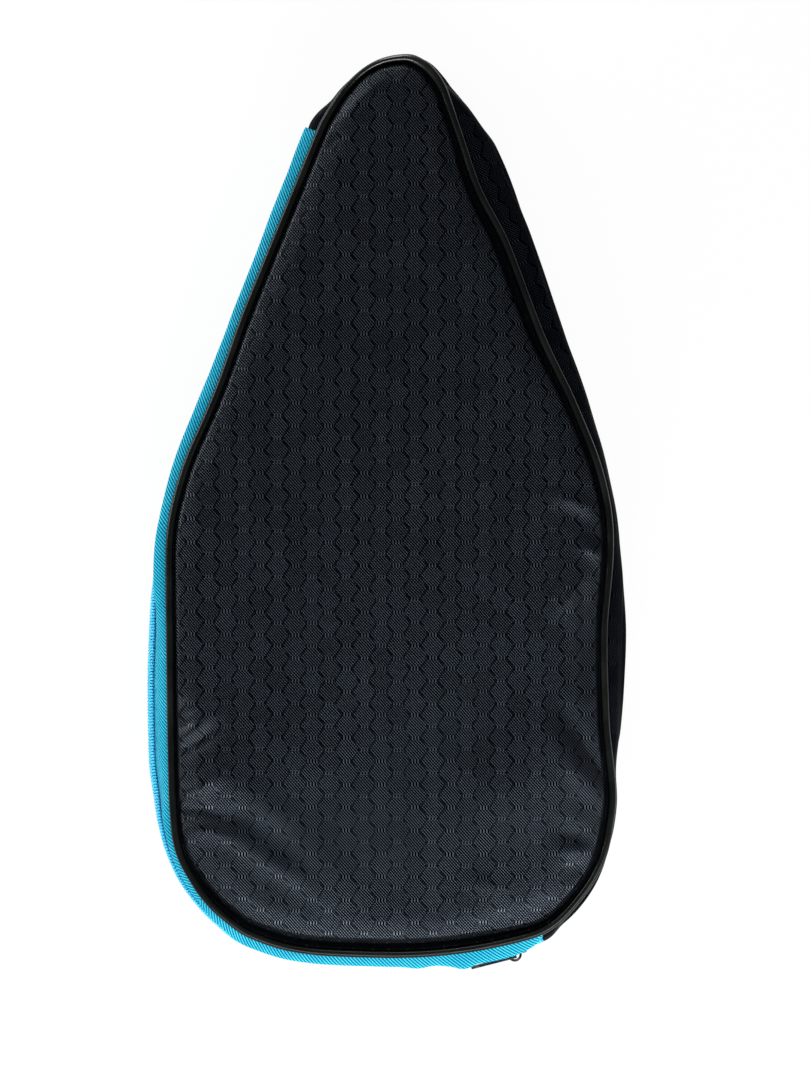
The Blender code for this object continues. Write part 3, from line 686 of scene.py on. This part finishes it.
def gusset_section(along):
    out = eased(WALL_SWELL, along) + cuff(along)
    face = [turned_in(FRONT, ALLOWANCE, -FACE_ACROSS), turned_in(FRONT, TURN_START, -FACE_ACROSS)]
    wall = half_wall(FRONT, out, 0) + half_wall(BACK, out, 0)[::-1]
    face += [gathers(along, o, z) for o, z in wall]
    face += [turned_in(BACK, TURN_START, -FACE_ACROSS), turned_in(BACK, ALLOWANCE, -FACE_ACROSS)]
    inside = [turned_in(BACK, ALLOWANCE, -BACK_ACROSS), turned_in(BACK, TURN_INSIDE, -BACK_ACROSS)]
    wall = half_wall(BACK, out, FABRIC) + half_wall(FRONT, out, FABRIC)[::-1]
    inside += [gathers(along, o, z) for o, z in wall]
    inside += [turned_in(FRONT, TURN_INSIDE, -BACK_ACROSS), turned_in(FRONT, ALLOWANCE, -BACK_ACROSS)]
    return face + inside


GUSSET_RUN = steps_between(ZIPPER_STOP - CUFF_LAP, ROUND + ZIPPER_START + CUFF_LAP, RUN_STEP)
gusset_cover = sweep("gusset_cover", gusset_section, GUSSET_RUN)
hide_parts("spine_gusset")
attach(gusset_cover, "case")

# %% Lining of the gusset
LINING_FIRST = 5


def gusset_lining_section(along):
    out = eased(WALL_SWELL, along)
    near, far = FABRIC + GAP, FABRIC + GAP + LINING
    face = half_wall(FRONT, out, near, LINING_FIRST) + half_wall(BACK, out, near, LINING_FIRST)[::-1]
    inside = half_wall(BACK, out, far, LINING_FIRST) + half_wall(FRONT, out, far, LINING_FIRST)[::-1]
    return [gathers(along, o, z) for o, z in face + inside]


gusset_lining = sweep("gusset_lining", gusset_lining_section, GUSSET_RUN)
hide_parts("spine_lining")
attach(gusset_lining, "case")

# %% [markdown]
# ## Zipper
# Down the left side and along the bottom the wall is two zipper tapes. Beside its seam each tape rolls outwards,
# more in some places than in others, and beside the teeth it is straight. Along its edge it has a nylon coil: a
# wire wound in flat loops, whose heads hook between those of the other half. One loop is made from a few points
# and copied along the chain, with the two halves half a pitch apart, so that they really interlock.

# %% Zipper tapes
TAPE = 0.8 * MM
TAPE_EDGE = 0.5 * MM
TAPE_PUFF = [
    (0, 0), (50, 2.6), (57, 5.2), (66, 5.3), (80, 5.1), (100, 5.1), (118, 4.9), (165, 4.8), (185, 5.1), (205, 5.2),
    (235, 4.8), (250, 4.6), (264, 4.2), (290, 3.9), (300, 3.2), (312, 1.8), (325, 0), (395, 0), (418, 3.0), (440, 3.1),
    (460, 3.7), (480, 4.0), (510, 3.9), (550, 3.9), (568, 4.1), (577, 5.2), (585, 4.3), (593, 5.6), (599, 7.6),
    (601, 7.6), (606, 6.0), (614, 6.0), (625, 5.6), (631, 4.6), (637, 2.4), (641, 0.6), (END, 0),
]
PUFF_SHARE = 0.7


def puffed(points, puff):
    """The tape's roll beside its seam, which hides the teeth from above where it is large."""
    last = PUFF_SHARE * (len(points) - 1)
    return [(out + puff * math.sin(math.pi * min(1, i / last)), z) for i, (out, z) in enumerate(points)]


def tape_section(wall, along):
    out = eased(WALL_SWELL, along)
    puff = eased(TAPE_PUFF, along)
    edge_z = MIDDLE_Z + wall[1] * TAPE_EDGE
    across = FACE_ACROSS + TAPE
    face = [turned_in(wall, ALLOWANCE, -FACE_ACROSS), turned_in(wall, TURN_START, -FACE_ACROSS)]
    face += puffed(half_wall(wall, out, 0), puff) + [(out, edge_z)]
    inside = [(out - TAPE, edge_z)] + puffed(half_wall(wall, out, TAPE), puff)[::-1]
    inside += [turned_in(wall, TURN_START + TAPE, -across), turned_in(wall, ALLOWANCE, -across)]
    return face + inside


ZIPPER_RUN = steps_between(ZIPPER_START, ZIPPER_STOP, RUN_STEP)
tape_front = sweep("tape_front", lambda along: tape_section(FRONT, along), ZIPPER_RUN)
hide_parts("zipper_tape_front", "zipper_tape_tail")
tape_back = sweep("tape_back", lambda along: tape_section(BACK, along), ZIPPER_RUN)
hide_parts("zipper_tape_back")
bend_with_flap(tape_front)
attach(tape_back, "case")

# %% One loop of the coil
WIRE_RADIUS = 0.6 * MM
WIRE_SIDES = 5
LOOP = [
    (-0.4, 2.9, 0.4), (-0.38, 2.7, 1.2), (-0.2, 2.0, 1.7), (0.1, 0.9, 1.8), (0.32, 0.0, 1.5), (0.4, -0.3, 0.9),
    (0.4, 0.3, 0.5),
]


def loop_rings():
    """Rings of the wire round each point of one loop, in the chain's own frame: along, up and out."""
    points = [Vector(point) * MM for point in LOOP]
    rings = []
    for i, point in enumerate(points):
        ahead = (points[min(i + 1, len(points) - 1)] - points[max(i - 1, 0)]).normalized()
        side = ahead.cross(Vector((1, 0, 0))).normalized()
        lift = ahead.cross(side)
        turns = [2 * math.pi * k / WIRE_SIDES for k in range(WIRE_SIDES)]
        rings.append([point + (side * math.cos(t) + lift * math.sin(t)) * WIRE_RADIUS for t in turns])
    return rings


print("one loop:", len(LOOP), "rings of", WIRE_SIDES)

# %% Winding the coils
COIL_PITCH = 1.5 * MM
COIL_SETBACK = 2 * MM


def chain_frame(along, wall):
    """Where one loop goes: along the chain, up or down to its own tape, and out of the tape's face."""
    heading = seam_at(along)[2]
    swell = eased(WALL_SWELL, along)
    forward = Vector((math.cos(heading), math.sin(heading), 0))
    up = (spot(along, swell, MIDDLE_Z + 1 * MM) - spot(along, swell, MIDDLE_Z - 1 * MM)).normalized()
    turn = Matrix((forward, up * wall[1], forward.cross(up))).transposed().to_4x4()
    return Matrix.Translation(spot(along, swell, MIDDLE_Z)) @ turn


def wind_coil(name, wall, first):
    one, first_edges, last_edges = draw_rings(loop_rings())
    bmesh.ops.holes_fill(one, edges=first_edges + last_edges, sides=0)
    bmesh.ops.recalc_face_normals(one, faces=one.faces)
    loop = bpy.data.meshes.new("loop")
    one.to_mesh(loop)
    one.free()
    last = ZIPPER_STOP - COIL_SETBACK
    alongs = [first + COIL_PITCH * i for i in range(int((last - first) / COIL_PITCH))]
    bm = bmesh.new()
    for along in alongs:
        copied = loop.copy()
        copied.transform(chain_frame(along, wall))
        bm.from_mesh(copied)
        bpy.data.meshes.remove(copied)
    bpy.data.meshes.remove(loop)
    bmesh.ops.recalc_face_normals(bm, faces=bm.faces)
    made = named_object(name, bm)
    print(name, len(alongs), "loops")
    return made


coil_front = wind_coil("coil_front", FRONT, ZIPPER_START + COIL_SETBACK)
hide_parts("zipper_coil_front", "zipper_coil_tail")
coil_back = wind_coil("coil_back", BACK, ZIPPER_START + COIL_SETBACK + COIL_PITCH / 2)
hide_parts("zipper_coil_back")
bend_with_flap(coil_front)
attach(coil_back, "case")

# %% [markdown]
# ## Core cords and stitch rows
# The wire is wound round a soft cord, which closes the chain, and each half is sewn to its tape with a row of
# dark stitches along the roots of its loops. Both are round threads swept along the chain, darker blue than the
# coil: partly thread colour and partly painted shade for the dark gaps between the loops and beside the coil.
# Each is noted in millimetres: how far up its tape it lies, how far out, and its radius.

# %% Core cords and stitch rows
CORE = (1.6, 0.7, 1.05)
STITCHES = (3.95, -0.1, 0.34)
THREAD_SIDES = 8


def thread_section(wall, along, thread):
    up, out, radius = thread
    turns = [2 * math.pi * k / THREAD_SIDES for k in range(THREAD_SIDES)]
    middle_out = eased(WALL_SWELL, along) + out * MM
    middle_z = MIDDLE_Z + wall[1] * up * MM
    return [(middle_out + radius * MM * math.cos(t), middle_z + radius * MM * math.sin(t)) for t in turns]


CHAIN_RUN = steps_between(ZIPPER_START + COIL_SETBACK, ZIPPER_STOP - COIL_SETBACK, RUN_STEP)
core_front = sweep("core_front", lambda along: thread_section(FRONT, along, CORE), CHAIN_RUN)
core_back = sweep("core_back", lambda along: thread_section(BACK, along, CORE), CHAIN_RUN)
stitches_front = sweep("stitches_front", lambda along: thread_section(FRONT, along, STITCHES), CHAIN_RUN)
stitches_back = sweep("stitches_back", lambda along: thread_section(BACK, along, STITCHES), CHAIN_RUN)
for thread in (core_front, stitches_front):
    bend_with_flap(thread)
for thread in (core_back, stitches_back):
    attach(thread, "case")

# %% [markdown]
# ## Slider
# The slider and its pull tab are cast and plated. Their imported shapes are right, so they stay, and only their
# sharp edges are broken with a small bevel.

# %% Slider
EDGE_BREAK = 0.18 * MM
for node in ("slider_body", "pull_tab"):
    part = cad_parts[node]
    weld = part.modifiers.new("weld", "WELD")
    weld.merge_threshold = MERGE_DISTANCE
    bevel = part.modifiers.new("edges", "BEVEL")
    bevel.width = EDGE_BREAK
    bevel.segments = 2
print("slider and pull tab kept")

# %% [markdown]
# ## Finishes
# Each finish is a node material. The cloths read the UV map that was drawn with them, in metres, so one thread
# has its true size on every piece. A few small helpers keep the node code readable: one adds any node and links
# or sets its inputs in order, one adds a step of arithmetic, and one makes the wave that every weave is counted
# with.

# %% Node helpers
def add(tree, kind, *inputs, **settings):
    """A node whose first inputs are linked or set in order. Gives its first output."""
    made = tree.nodes.new("ShaderNode" + kind)
    for setting, value in settings.items():
        setattr(made, setting, value)
    for socket, value in zip(made.inputs, inputs):
        if isinstance(value, bpy.types.NodeSocket):
            tree.links.new(value, socket)
        elif value is not None:
            socket.default_value = value
    return made.outputs[0]


def calc(tree, operation, *inputs):
    return add(tree, "Math", *inputs, operation=operation)


def ramp(tree, value, low, high, to_low=0.0, to_high=1.0):
    """Ease a value from one range into another."""
    return add(tree, "MapRange", value, low, high, to_low, to_high, interpolation_type="SMOOTHSTEP")


def wave(tree, value, half):
    """Go from 0 to 1 and back, over and over: half of the wave is this long."""
    return calc(tree, "PINGPONG", calc(tree, "DIVIDE", value, half), 1.0)


def odd_sign(tree, number):
    """1 for an even whole number and -1 for an odd one."""
    return calc(tree, "MULTIPLY_ADD", calc(tree, "PINGPONG", number, 1.0), -2.0, 1.0)


def blend_colours(tree, share, first, second):
    mix = tree.nodes.new("ShaderNodeMix")
    mix.data_type = "RGBA"
    for socket, value in ((mix.inputs[0], share), (mix.inputs[6], first), (mix.inputs[7], second)):
        if isinstance(value, bpy.types.NodeSocket):
            tree.links.new(value, socket)
        elif isinstance(value, tuple):
            socket.default_value = (*value, 1)
        else:
            socket.default_value = value
    return mix.outputs[2]


print("node helpers ready")


# %% Starting and dressing with a finish
def new_finish(name, **constants):
    """A material with its shader's constant values set on their own sockets."""
    finish = bpy.data.materials.new(name)
    finish.use_nodes = True
    shader = finish.node_tree.nodes["Principled BSDF"]
    for socket, value in constants.items():
        shader.inputs[socket.replace("_", " ")].default_value = value
    return finish, finish.node_tree, shader


def connect(tree, shader, colour, rough, height, depth):
    tree.links.new(colour, shader.inputs["Base Color"])
    tree.links.new(rough, shader.inputs["Roughness"])
    bump = tree.nodes.new("ShaderNodeBump")
    bump.inputs["Distance"].default_value = depth
    tree.links.new(height, bump.inputs["Height"])
    tree.links.new(bump.outputs[0], shader.inputs["Normal"])


def dress(finish, *pieces):
    for piece in pieces:
        piece.data.materials.clear()
        piece.data.materials.append(finish)
    print(finish.name, "on", len(pieces), "pieces")


print("finishes can be started and put on")

# %% Places on the cloth
WANDER_SCALE = 0.022


def cloth_place(tree, warp=0.0):
    """The cloth's own x and y in millimetres, with a slow wander of the threads."""
    uv = add(tree, "UVMap", uv_map="cloth")
    place = add(tree, "VectorMath", uv, (1 / MM, 1 / MM, 1 / MM), operation="MULTIPLY")
    if warp:
        drift = tree.nodes.new("ShaderNodeTexNoise")
        drift.inputs["Scale"].default_value = WANDER_SCALE
        drift.inputs["Detail"].default_value = 1
        tree.links.new(place, drift.inputs["Vector"])
        centred = add(tree, "VectorMath", drift.outputs["Color"], (0.5, 0.5, 0.5), operation="SUBTRACT")
        moved = add(tree, "VectorMath", centred, (warp, warp, warp), operation="MULTIPLY")
        place = add(tree, "VectorMath", place, moved, operation="ADD")
    split = tree.nodes.new("ShaderNodeSeparateXYZ")
    tree.links.new(place, split.inputs[0])
    return split.outputs[0], split.outputs[1]


def speckle(tree, scale, detail):
    """Soft spots in the piece's own space."""
    coords = tree.nodes.new("ShaderNodeTexCoord")
    dots = tree.nodes.new("ShaderNodeTexNoise")
    dots.inputs["Scale"].default_value = scale
    dots.inputs["Detail"].default_value = detail
    tree.links.new(coords.outputs["Object"], dots.inputs["Vector"])
    return dots.outputs["Fac"]


print("threads wander over", round(1 / WANDER_SCALE), "mm")

# %% [markdown]
# ## Hexagon ripstop
# The cover is a dark blue-black nylon with a honeycomb of heavier threads. The cells stand in columns: their
# slanted sides are fine dark zigzag lines, and each flat side is a row of short floats. Inside a cell the ground
# is a twill that slopes down to the right. A voronoi texture gives hexagons too, but not with these uneven sides,
# so the pattern is counted out in threads: which column, how far up, and how far from its zigzag. The gaps
# between the threads don't shine, which the shader's specular tint says. Beside the welt the threads are darkened
# as painted shade of the groove there: the number of the row that a point was drawn in tells how far in it lies.

# %% Cells of the ripstop
COLUMN = 8.67
CELL_HEIGHT = 11.6
SLANT = 3.0
CORNER_CUT = 1.3
ZIGZAG_EDGE = (0.3, 0.6)
FLAT_TALL = (0.68, 0.82)
FLAT_WIDE = (0.29, 0.33)


def ripstop_cells(tree, x, y):
    """The honeycomb's zigzag lines, its flat sides, and a number for each cell."""
    u = calc(tree, "DIVIDE", x, COLUMN)
    rise = calc(tree, "MULTIPLY_ADD", wave(tree, y, CELL_HEIGHT / 2), 2.0, -1.0)
    blunt = calc(tree, "MAXIMUM", calc(tree, "MINIMUM", calc(tree, "MULTIPLY", rise, CORNER_CUT), 1.0), -1.0)
    side = calc(tree, "ROUND", u)
    shift = calc(tree, "MULTIPLY", calc(tree, "MULTIPLY", odd_sign(tree, side), blunt), SLANT / 2)
    past = calc(tree, "SUBTRACT", calc(tree, "MULTIPLY", calc(tree, "SUBTRACT", u, side), COLUMN), shift)
    zigzag = ramp(tree, calc(tree, "ABSOLUTE", past), *ZIGZAG_EDGE, 1.0, 0.0)
    column = calc(tree, "SUBTRACT", side, calc(tree, "LESS_THAN", past, 0.0))
    sign = odd_sign(tree, column)
    at_flat = ramp(tree, calc(tree, "MULTIPLY", sign, rise), *FLAT_TALL)
    from_middle = calc(tree, "SUBTRACT", calc(tree, "SUBTRACT", u, column), 0.5)
    in_flat = ramp(tree, calc(tree, "ABSOLUTE", from_middle), *FLAT_WIDE, 1.0, 0.0)
    row = calc(tree, "SUBTRACT", calc(tree, "DIVIDE", y, CELL_HEIGHT), calc(tree, "MULTIPLY_ADD", sign, 0.25, 0.25))
    cell = add(tree, "CombineXYZ", column, calc(tree, "FLOOR", row), 0.0)
    return zigzag, calc(tree, "MULTIPLY", at_flat, in_flat), cell


print("one cell:", COLUMN, "by", CELL_HEIGHT, "mm")

# %% Threads of the ripstop
FLOAT_PITCH = 1.5
FLOAT_EDGE = (0.45, 0.8)
FLOAT_LIGHT = 0.8
TWILL_PITCH = 1.5
TWILL_LEAN = 0.9
TWILL_EDGE = (0.5, 0.86)
TWILL_BREAKS = (0.1, 0.75, 0.25, 1.0)


def ripstop_ground(tree, x, y, flat):
    """Twill inside the cells, and floats on their flat sides."""
    floats = ramp(tree, wave(tree, x, FLOAT_PITCH / 2), *FLOAT_EDGE)
    lean = calc(tree, "MULTIPLY", y, TWILL_LEAN)
    down = wave(tree, calc(tree, "ADD", x, lean), TWILL_PITCH / 2)
    cross = wave(tree, calc(tree, "SUBTRACT", x, lean), TWILL_PITCH / 2)
    twill = calc(tree, "MULTIPLY", ramp(tree, down, *TWILL_EDGE), ramp(tree, cross, *TWILL_BREAKS))
    return add(tree, "Mix", flat, None, twill, calc(tree, "MULTIPLY", floats, FLOAT_LIGHT))


print("twill every", TWILL_PITCH, "mm")

# %% Ripstop on the panels and the gusset
RIPSTOP_WANDER = 2.2
GROOVE_ROWS = (6, 9)
# Painted shade: beside the welt the threads keep only this share of their colour, for the shaded groove there.
GROOVE_SHADE = 0.1
BLACK = (0.0, 0.0, 0.0)
THREAD_GAP = (0.0002, 0.0003, 0.0006)
THREAD_COLOURS = [(0.016, 0.021, 0.029), (0.0275, 0.035, 0.047)]
THREAD_SHINE = (0.68, 0.83, 1.0)
ZIGZAG_SHINE = 0.12


def ripstop_finish(name, across_first, gloss, ior, shade):
    finish, tree, shader = new_finish(name, Specular_IOR_Level=gloss, IOR=ior)
    x, y = cloth_place(tree, RIPSTOP_WANDER)
    if across_first:
        x, y = y, x
    zigzag, flat, cell = ripstop_cells(tree, x, y)
    ground = ripstop_ground(tree, x, y, flat)
    threads = calc(tree, "MULTIPLY", ground, calc(tree, "SUBTRACT", 1.0, zigzag))
    # Painted shade of the groove: the threads in the rows beside the welt are darkened.
    if not across_first:
        groove_shade = ramp(tree, add(tree, "Attribute", attribute_name="row"), *GROOVE_ROWS, GROOVE_SHADE, 1.0)
        threads = calc(tree, "MULTIPLY", threads, groove_shade)
    uneven = ramp(tree, add(tree, "TexWhiteNoise", cell, noise_dimensions="2D"), 0.0, 1.0)
    light = blend_colours(tree, uneven, *[tuple(shade * value for value in thread) for thread in THREAD_COLOURS])
    colour = blend_colours(tree, threads, THREAD_GAP, light)
    shine = calc(tree, "MAXIMUM", threads, calc(tree, "MULTIPLY", zigzag, ZIGZAG_SHINE))
    tree.links.new(blend_colours(tree, shine, BLACK, THREAD_SHINE), shader.inputs["Specular Tint"])
    rough = add(tree, "Mix", zigzag, None, 0.42, 0.35)
    connect(tree, shader, colour, rough, ground, 0.1 * MM)
    return finish


panel_cloth = ripstop_finish("hexagon_ripstop", across_first=False, gloss=1.0, ior=1.5, shade=1.0)
# Painted shade: the gusset's copy of the panels' cloth has its threads darkened to 0.65, so that the wall reads darker
# than the panels; it also shines less.
wall_cloth_painted_shade = ripstop_finish("hexagon_ripstop_wall_painted_shade", across_first=True, gloss=0.4, ior=1.06, shade=0.65)
dress(panel_cloth, cover_front, cover_back)
dress(wall_cloth_painted_shade, gusset_cover)

# %% [markdown]
# ## Zipper finishes
# The tape is a bright cyan polyester, woven in a fine twill. From above, its ribs slope down to the right on the
# left side of the case and along the bottom too, so on the flat tape they turn over at the corner between the
# two. The coil is the same colour in smooth nylon, which shines more, and a row of dark blue stitches runs
# beside it. The dark blue of the stitches and the core cords is partly painted shade of the gaps round the coil.

# %% Tape
TAPE_WANDER = 0.6
RIB_PITCH = 1.9
RIB_TURN = 460
RIB_EDGE = (0.25, 0.7)
PICK_PITCH = 1.0
PICK_EDGE = (0.1, 0.8, 0.8, 1.0)
TAPE_GAP = (0.001, 0.08, 0.16)
TAPE_COLOURS = [(0.012, 0.45, 0.63), (0.03, 0.52, 0.71)]


def tape_finish():
    finish, tree, shader = new_finish("woven_tape", Specular_IOR_Level=0.15)
    along, across = cloth_place(tree, TAPE_WANDER)
    from_corner = calc(tree, "ABSOLUTE", calc(tree, "SUBTRACT", along, RIB_TURN))
    ribs = ramp(tree, wave(tree, calc(tree, "SUBTRACT", from_corner, across), RIB_PITCH / 2), *RIB_EDGE)
    weave = calc(tree, "MULTIPLY", ribs, ramp(tree, wave(tree, along, PICK_PITCH / 2), *PICK_EDGE))
    worn = ramp(tree, speckle(tree, 90, 3), 0.35, 0.7)
    colour = blend_colours(tree, weave, TAPE_GAP, blend_colours(tree, worn, *TAPE_COLOURS))
    rough = calc(tree, "MULTIPLY_ADD", weave, -0.15, 0.7)
    connect(tree, shader, colour, rough, weave, 0.22 * MM)
    return finish


dress(tape_finish(), tape_front, tape_back)

# %% Coil, core cords and stitches
STITCH_LENGTH = 2.4
STITCH_EDGE = (0.05, 0.3)
TWIST_PITCH = 0.8


def spotted_finish(name, spots, edge, colours, rough, depth, **constants):
    """A finish clouded by soft spots, which change its colour, roughness and height together."""
    finish, tree, shader = new_finish(name, **constants)
    cloudy = ramp(tree, speckle(tree, *spots), *edge)
    colour = blend_colours(tree, cloudy, *colours)
    connect(tree, shader, colour, calc(tree, "MULTIPLY_ADD", cloudy, *rough), cloudy, depth)
    return finish


def thread_finish(name, dark, light):
    """Short stitches of a twisted thread."""
    finish, tree, shader = new_finish(name, Specular_IOR_Level=0.35)
    along, across = cloth_place(tree)
    stitch = ramp(tree, wave(tree, along, STITCH_LENGTH / 2), *STITCH_EDGE)
    twist = wave(tree, calc(tree, "ADD", along, across), TWIST_PITCH / 2)
    strand = calc(tree, "MULTIPLY", stitch, ramp(tree, twist, 0.0, 1.0, 0.6, 1.0))
    rough = calc(tree, "MULTIPLY_ADD", strand, -0.1, 0.7)
    connect(tree, shader, blend_colours(tree, strand, dark, light), rough, strand, 0.12 * MM)
    return finish


NYLON = [(0.025, 0.4, 0.62), (0.05, 0.5, 0.74)]
coil_nylon = spotted_finish("nylon_coil", (700, 2), (0.3, 0.7), NYLON, (0.12, 0.32), 0.05 * MM, Specular_IOR_Level=0.5)
dress(coil_nylon, coil_front, coil_back)
# Painted shade, in part: the core cords and stitches are darker blue than the coil, for the shaded gaps round it.
dress(thread_finish("core_cord_and_gap_shade", (0.02, 0.24, 0.46), (0.04, 0.36, 0.62)), core_front, core_back)
dress(thread_finish("stitch_thread_and_gap_shade", (0.003, 0.05, 0.16), (0.006, 0.1, 0.3)), stitches_front, stitches_back)

# %% [markdown]
# ## Vinyl, binding, lining, foam and metal
# The welt is glossy black vinyl with a faint grain, and it shines most at the tip. The binding is a ribbed tape,
# the lining a fine knit, and the foam shows small pores. The slider is dark plated metal, a little rubbed where
# fingers hold it. Foam and metal are spotted like the coil, so they share its finish with other numbers.

# %% Vinyl and binding
POLISH_START = 205 * MM
POLISH_STOP = 222 * MM
POLISH_LEAST = 0.2
BINDING_RIB = 0.7
WHITE = (1.0, 1.0, 1.0)


def vinyl_finish():
    finish, tree, shader = new_finish("welt_vinyl", Specular_IOR_Level=0.6)
    wear = ramp(tree, speckle(tree, 45, 3), 0.4, 0.7)
    colour = blend_colours(tree, wear, (0.0036, 0.0048, 0.0042), (0.0062, 0.0078, 0.0066))
    rough = calc(tree, "MULTIPLY_ADD", wear, 0.1, 0.22)
    place = tree.nodes.new("ShaderNodeSeparateXYZ")
    tree.links.new(tree.nodes.new("ShaderNodeTexCoord").outputs["Object"], place.inputs[0])
    polished = ramp(tree, place.outputs[1], POLISH_START, POLISH_STOP, POLISH_LEAST, 1.0)
    tree.links.new(blend_colours(tree, polished, BLACK, WHITE), shader.inputs["Specular Tint"])
    connect(tree, shader, colour, rough, speckle(tree, 900, 4), 0.05 * MM)
    return finish


def ribbed_finish():
    finish, tree, shader = new_finish("binding_weave", Specular_IOR_Level=0.3)
    along, _ = cloth_place(tree)
    ribs = ramp(tree, wave(tree, along, BINDING_RIB / 2), 0.1, 0.9)
    colour = blend_colours(tree, ribs, (0.006, 0.0065, 0.008), (0.018, 0.02, 0.024))
    rough = calc(tree, "MULTIPLY_ADD", ribs, -0.1, 0.75)
    connect(tree, shader, colour, rough, ribs, 0.15 * MM)
    return finish


dress(vinyl_finish(), welt_front, welt_back)
dress(ribbed_finish(), binding_tape_front, binding_tape_back)

# %% Lining
LINING_WANDER = 1.0
COURSE_PITCH = 1.2
WALE_PITCH = 1.0
WALE_LEAN = 0.4


def knit_finish():
    finish, tree, shader = new_finish("lining_knit", Specular_IOR_Level=0.3, Sheen_Weight=0.15)
    x, y = cloth_place(tree, LINING_WANDER)
    courses = wave(tree, y, COURSE_PITCH / 2)
    lean = calc(tree, "MULTIPLY", courses, WALE_LEAN)
    wales = ramp(tree, wave(tree, calc(tree, "ADD", x, lean), WALE_PITCH / 2), 0.1, 0.9)
    loops = calc(tree, "MULTIPLY", wales, ramp(tree, courses, 0.0, 1.0, 0.6, 1.0))
    cloudy = ramp(tree, speckle(tree, 50, 3), 0.3, 0.7)
    colour = blend_colours(tree, loops, (0.012, 0.0135, 0.016), (0.032, 0.035, 0.04))
    colour = blend_colours(tree, calc(tree, "MULTIPLY", cloudy, 0.3), colour, (0.04, 0.043, 0.048))
    rough = calc(tree, "MULTIPLY_ADD", loops, -0.1, 0.8)
    connect(tree, shader, colour, rough, loops, 0.2 * MM)
    return finish


dress(knit_finish(), lining_front, lining_back, gusset_lining)

# %% Foam and metal
FOAM_GREYS = [(0.08, 0.08, 0.085), (0.19, 0.19, 0.195)]
PLATING = [(0.035, 0.037, 0.042), (0.075, 0.078, 0.085)]
pores = spotted_finish("foam_pores", (1500, 2), (0.35, 0.6), FOAM_GREYS, (-0.05, 0.9), 0.3 * MM, Specular_IOR_Level=0.2)
dress(pores, foam_front, foam_back)
plated = spotted_finish("plated_metal", (260, 4), (0.4, 0.65), PLATING, (0.15, 0.32), 0.04 * MM, Metallic=1.0)
dress(plated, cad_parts["slider_body"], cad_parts["pull_tab"])

# %% [markdown]
# ## Flat outline of the seam
# A cutter thinks of each panel as a flat piece. Here only the seam's flat outline is worked out. A cover's cut
# is that outline with the allowance all round, and a lining stops short of the seam. The gusset is a straight
# strip with two allowances, and its lining is a narrower one.

# %% Flat outline of the seam
outline = [seam_at(along)[:2] for along in ALL_ROUND]

# %% [markdown]
# ## Floor and light
# The case lies on a white floor under soft lamps. The strongest stands low beyond the bottom edge, so the cloth
# gets brighter towards it. One at the left lights the tape there, a smaller one at the lower right catches the
# puckers, and one beyond the tip draws a streak on the welt. The ceiling is dark, which keeps the black cloth
# black. Seen by the camera or in a reflection, most of the floor's white is its own, so that it stays white and
# still takes a soft shadow.

# %% Floor
FLOOR_WIDTH = 8.0
FLOOR_DROP = 0.2 * MM
FLOOR_GLOW = 0.95
bm = bmesh.new()
bmesh.ops.create_grid(bm, x_segments=1, y_segments=1, size=FLOOR_WIDTH / 2)
bmesh.ops.translate(bm, verts=bm.verts, vec=(0, 0, -FLOOR_DROP))
floor = named_object("floor", bm)
paper, tree, shader = new_finish("white_paper", Base_Color=(0.8, 0.8, 0.8, 1), Roughness=0.9, Specular_IOR_Level=0.1)
glow = add(tree, "Emission", (1, 1, 1, 1), 1.0)
path = tree.nodes.new("ShaderNodeLightPath")
seen = calc(tree, "MAXIMUM", path.outputs["Is Camera Ray"], path.outputs["Is Glossy Ray"])
seen = calc(tree, "MAXIMUM", seen, path.outputs["Is Transmission Ray"])
mixed = add(tree, "MixShader", calc(tree, "MULTIPLY", seen, FLOOR_GLOW), shader.outputs[0], glow)
tree.links.new(mixed, tree.nodes["Material Output"].inputs["Surface"])
floor.data.materials.append(paper)
print("floor", FLOOR_WIDTH, "m wide")

# %% Lamps
LAMPS = [
    ("key", (0.0, -0.64, 0.52), (0, -0.12, 0.03), (0.9, 0.28), 10.5),
    ("left", (-0.75, 0.35, 0.26), (-0.06, 0.1, 0.04), (0.7, 0.2), 8.0),
    ("right", (0.5, -0.52, 0.46), (0.07, -0.15, 0.03), (0.35, 0.25), 3.4),
    ("top", (-0.06, 0.85, 0.33), (0, 0.22, 0.03), (0.25, 0.45), 3.2),
]


def hang_lamp(name, place, aim, size, power):
    data = bpy.data.lights.new(name, "AREA")
    data.shape = "RECTANGLE"
    data.size, data.size_y = size
    data.energy = power
    lamp = bpy.data.objects.new(name, data)
    bpy.context.scene.collection.objects.link(lamp)
    lamp.location = place
    lamp.rotation_euler = (Vector(aim) - Vector(place)).to_track_quat("-Z", "Y").to_euler()


for lamp in LAMPS:
    hang_lamp(*lamp)
print("lamps:", len(LAMPS))

# %% Ceiling
CEILING_LIGHT = 0.04
world = bpy.data.worlds.new("studio")
bpy.context.scene.world = world
world.use_nodes = True
tree = world.node_tree
path = tree.nodes.new("ShaderNodeLightPath")
dim = add(tree, "Background", (1, 1, 1, 1), CEILING_LIGHT)
white = add(tree, "Background", (1, 1, 1, 1), 1.0)
mixed = add(tree, "MixShader", path.outputs["Is Camera Ray"], dim, white)
tree.links.new(mixed, tree.nodes["World Output"].inputs["Surface"])
bpy.context.scene.view_settings.view_transform = "Standard"
print("ceiling:", CEILING_LIGHT)
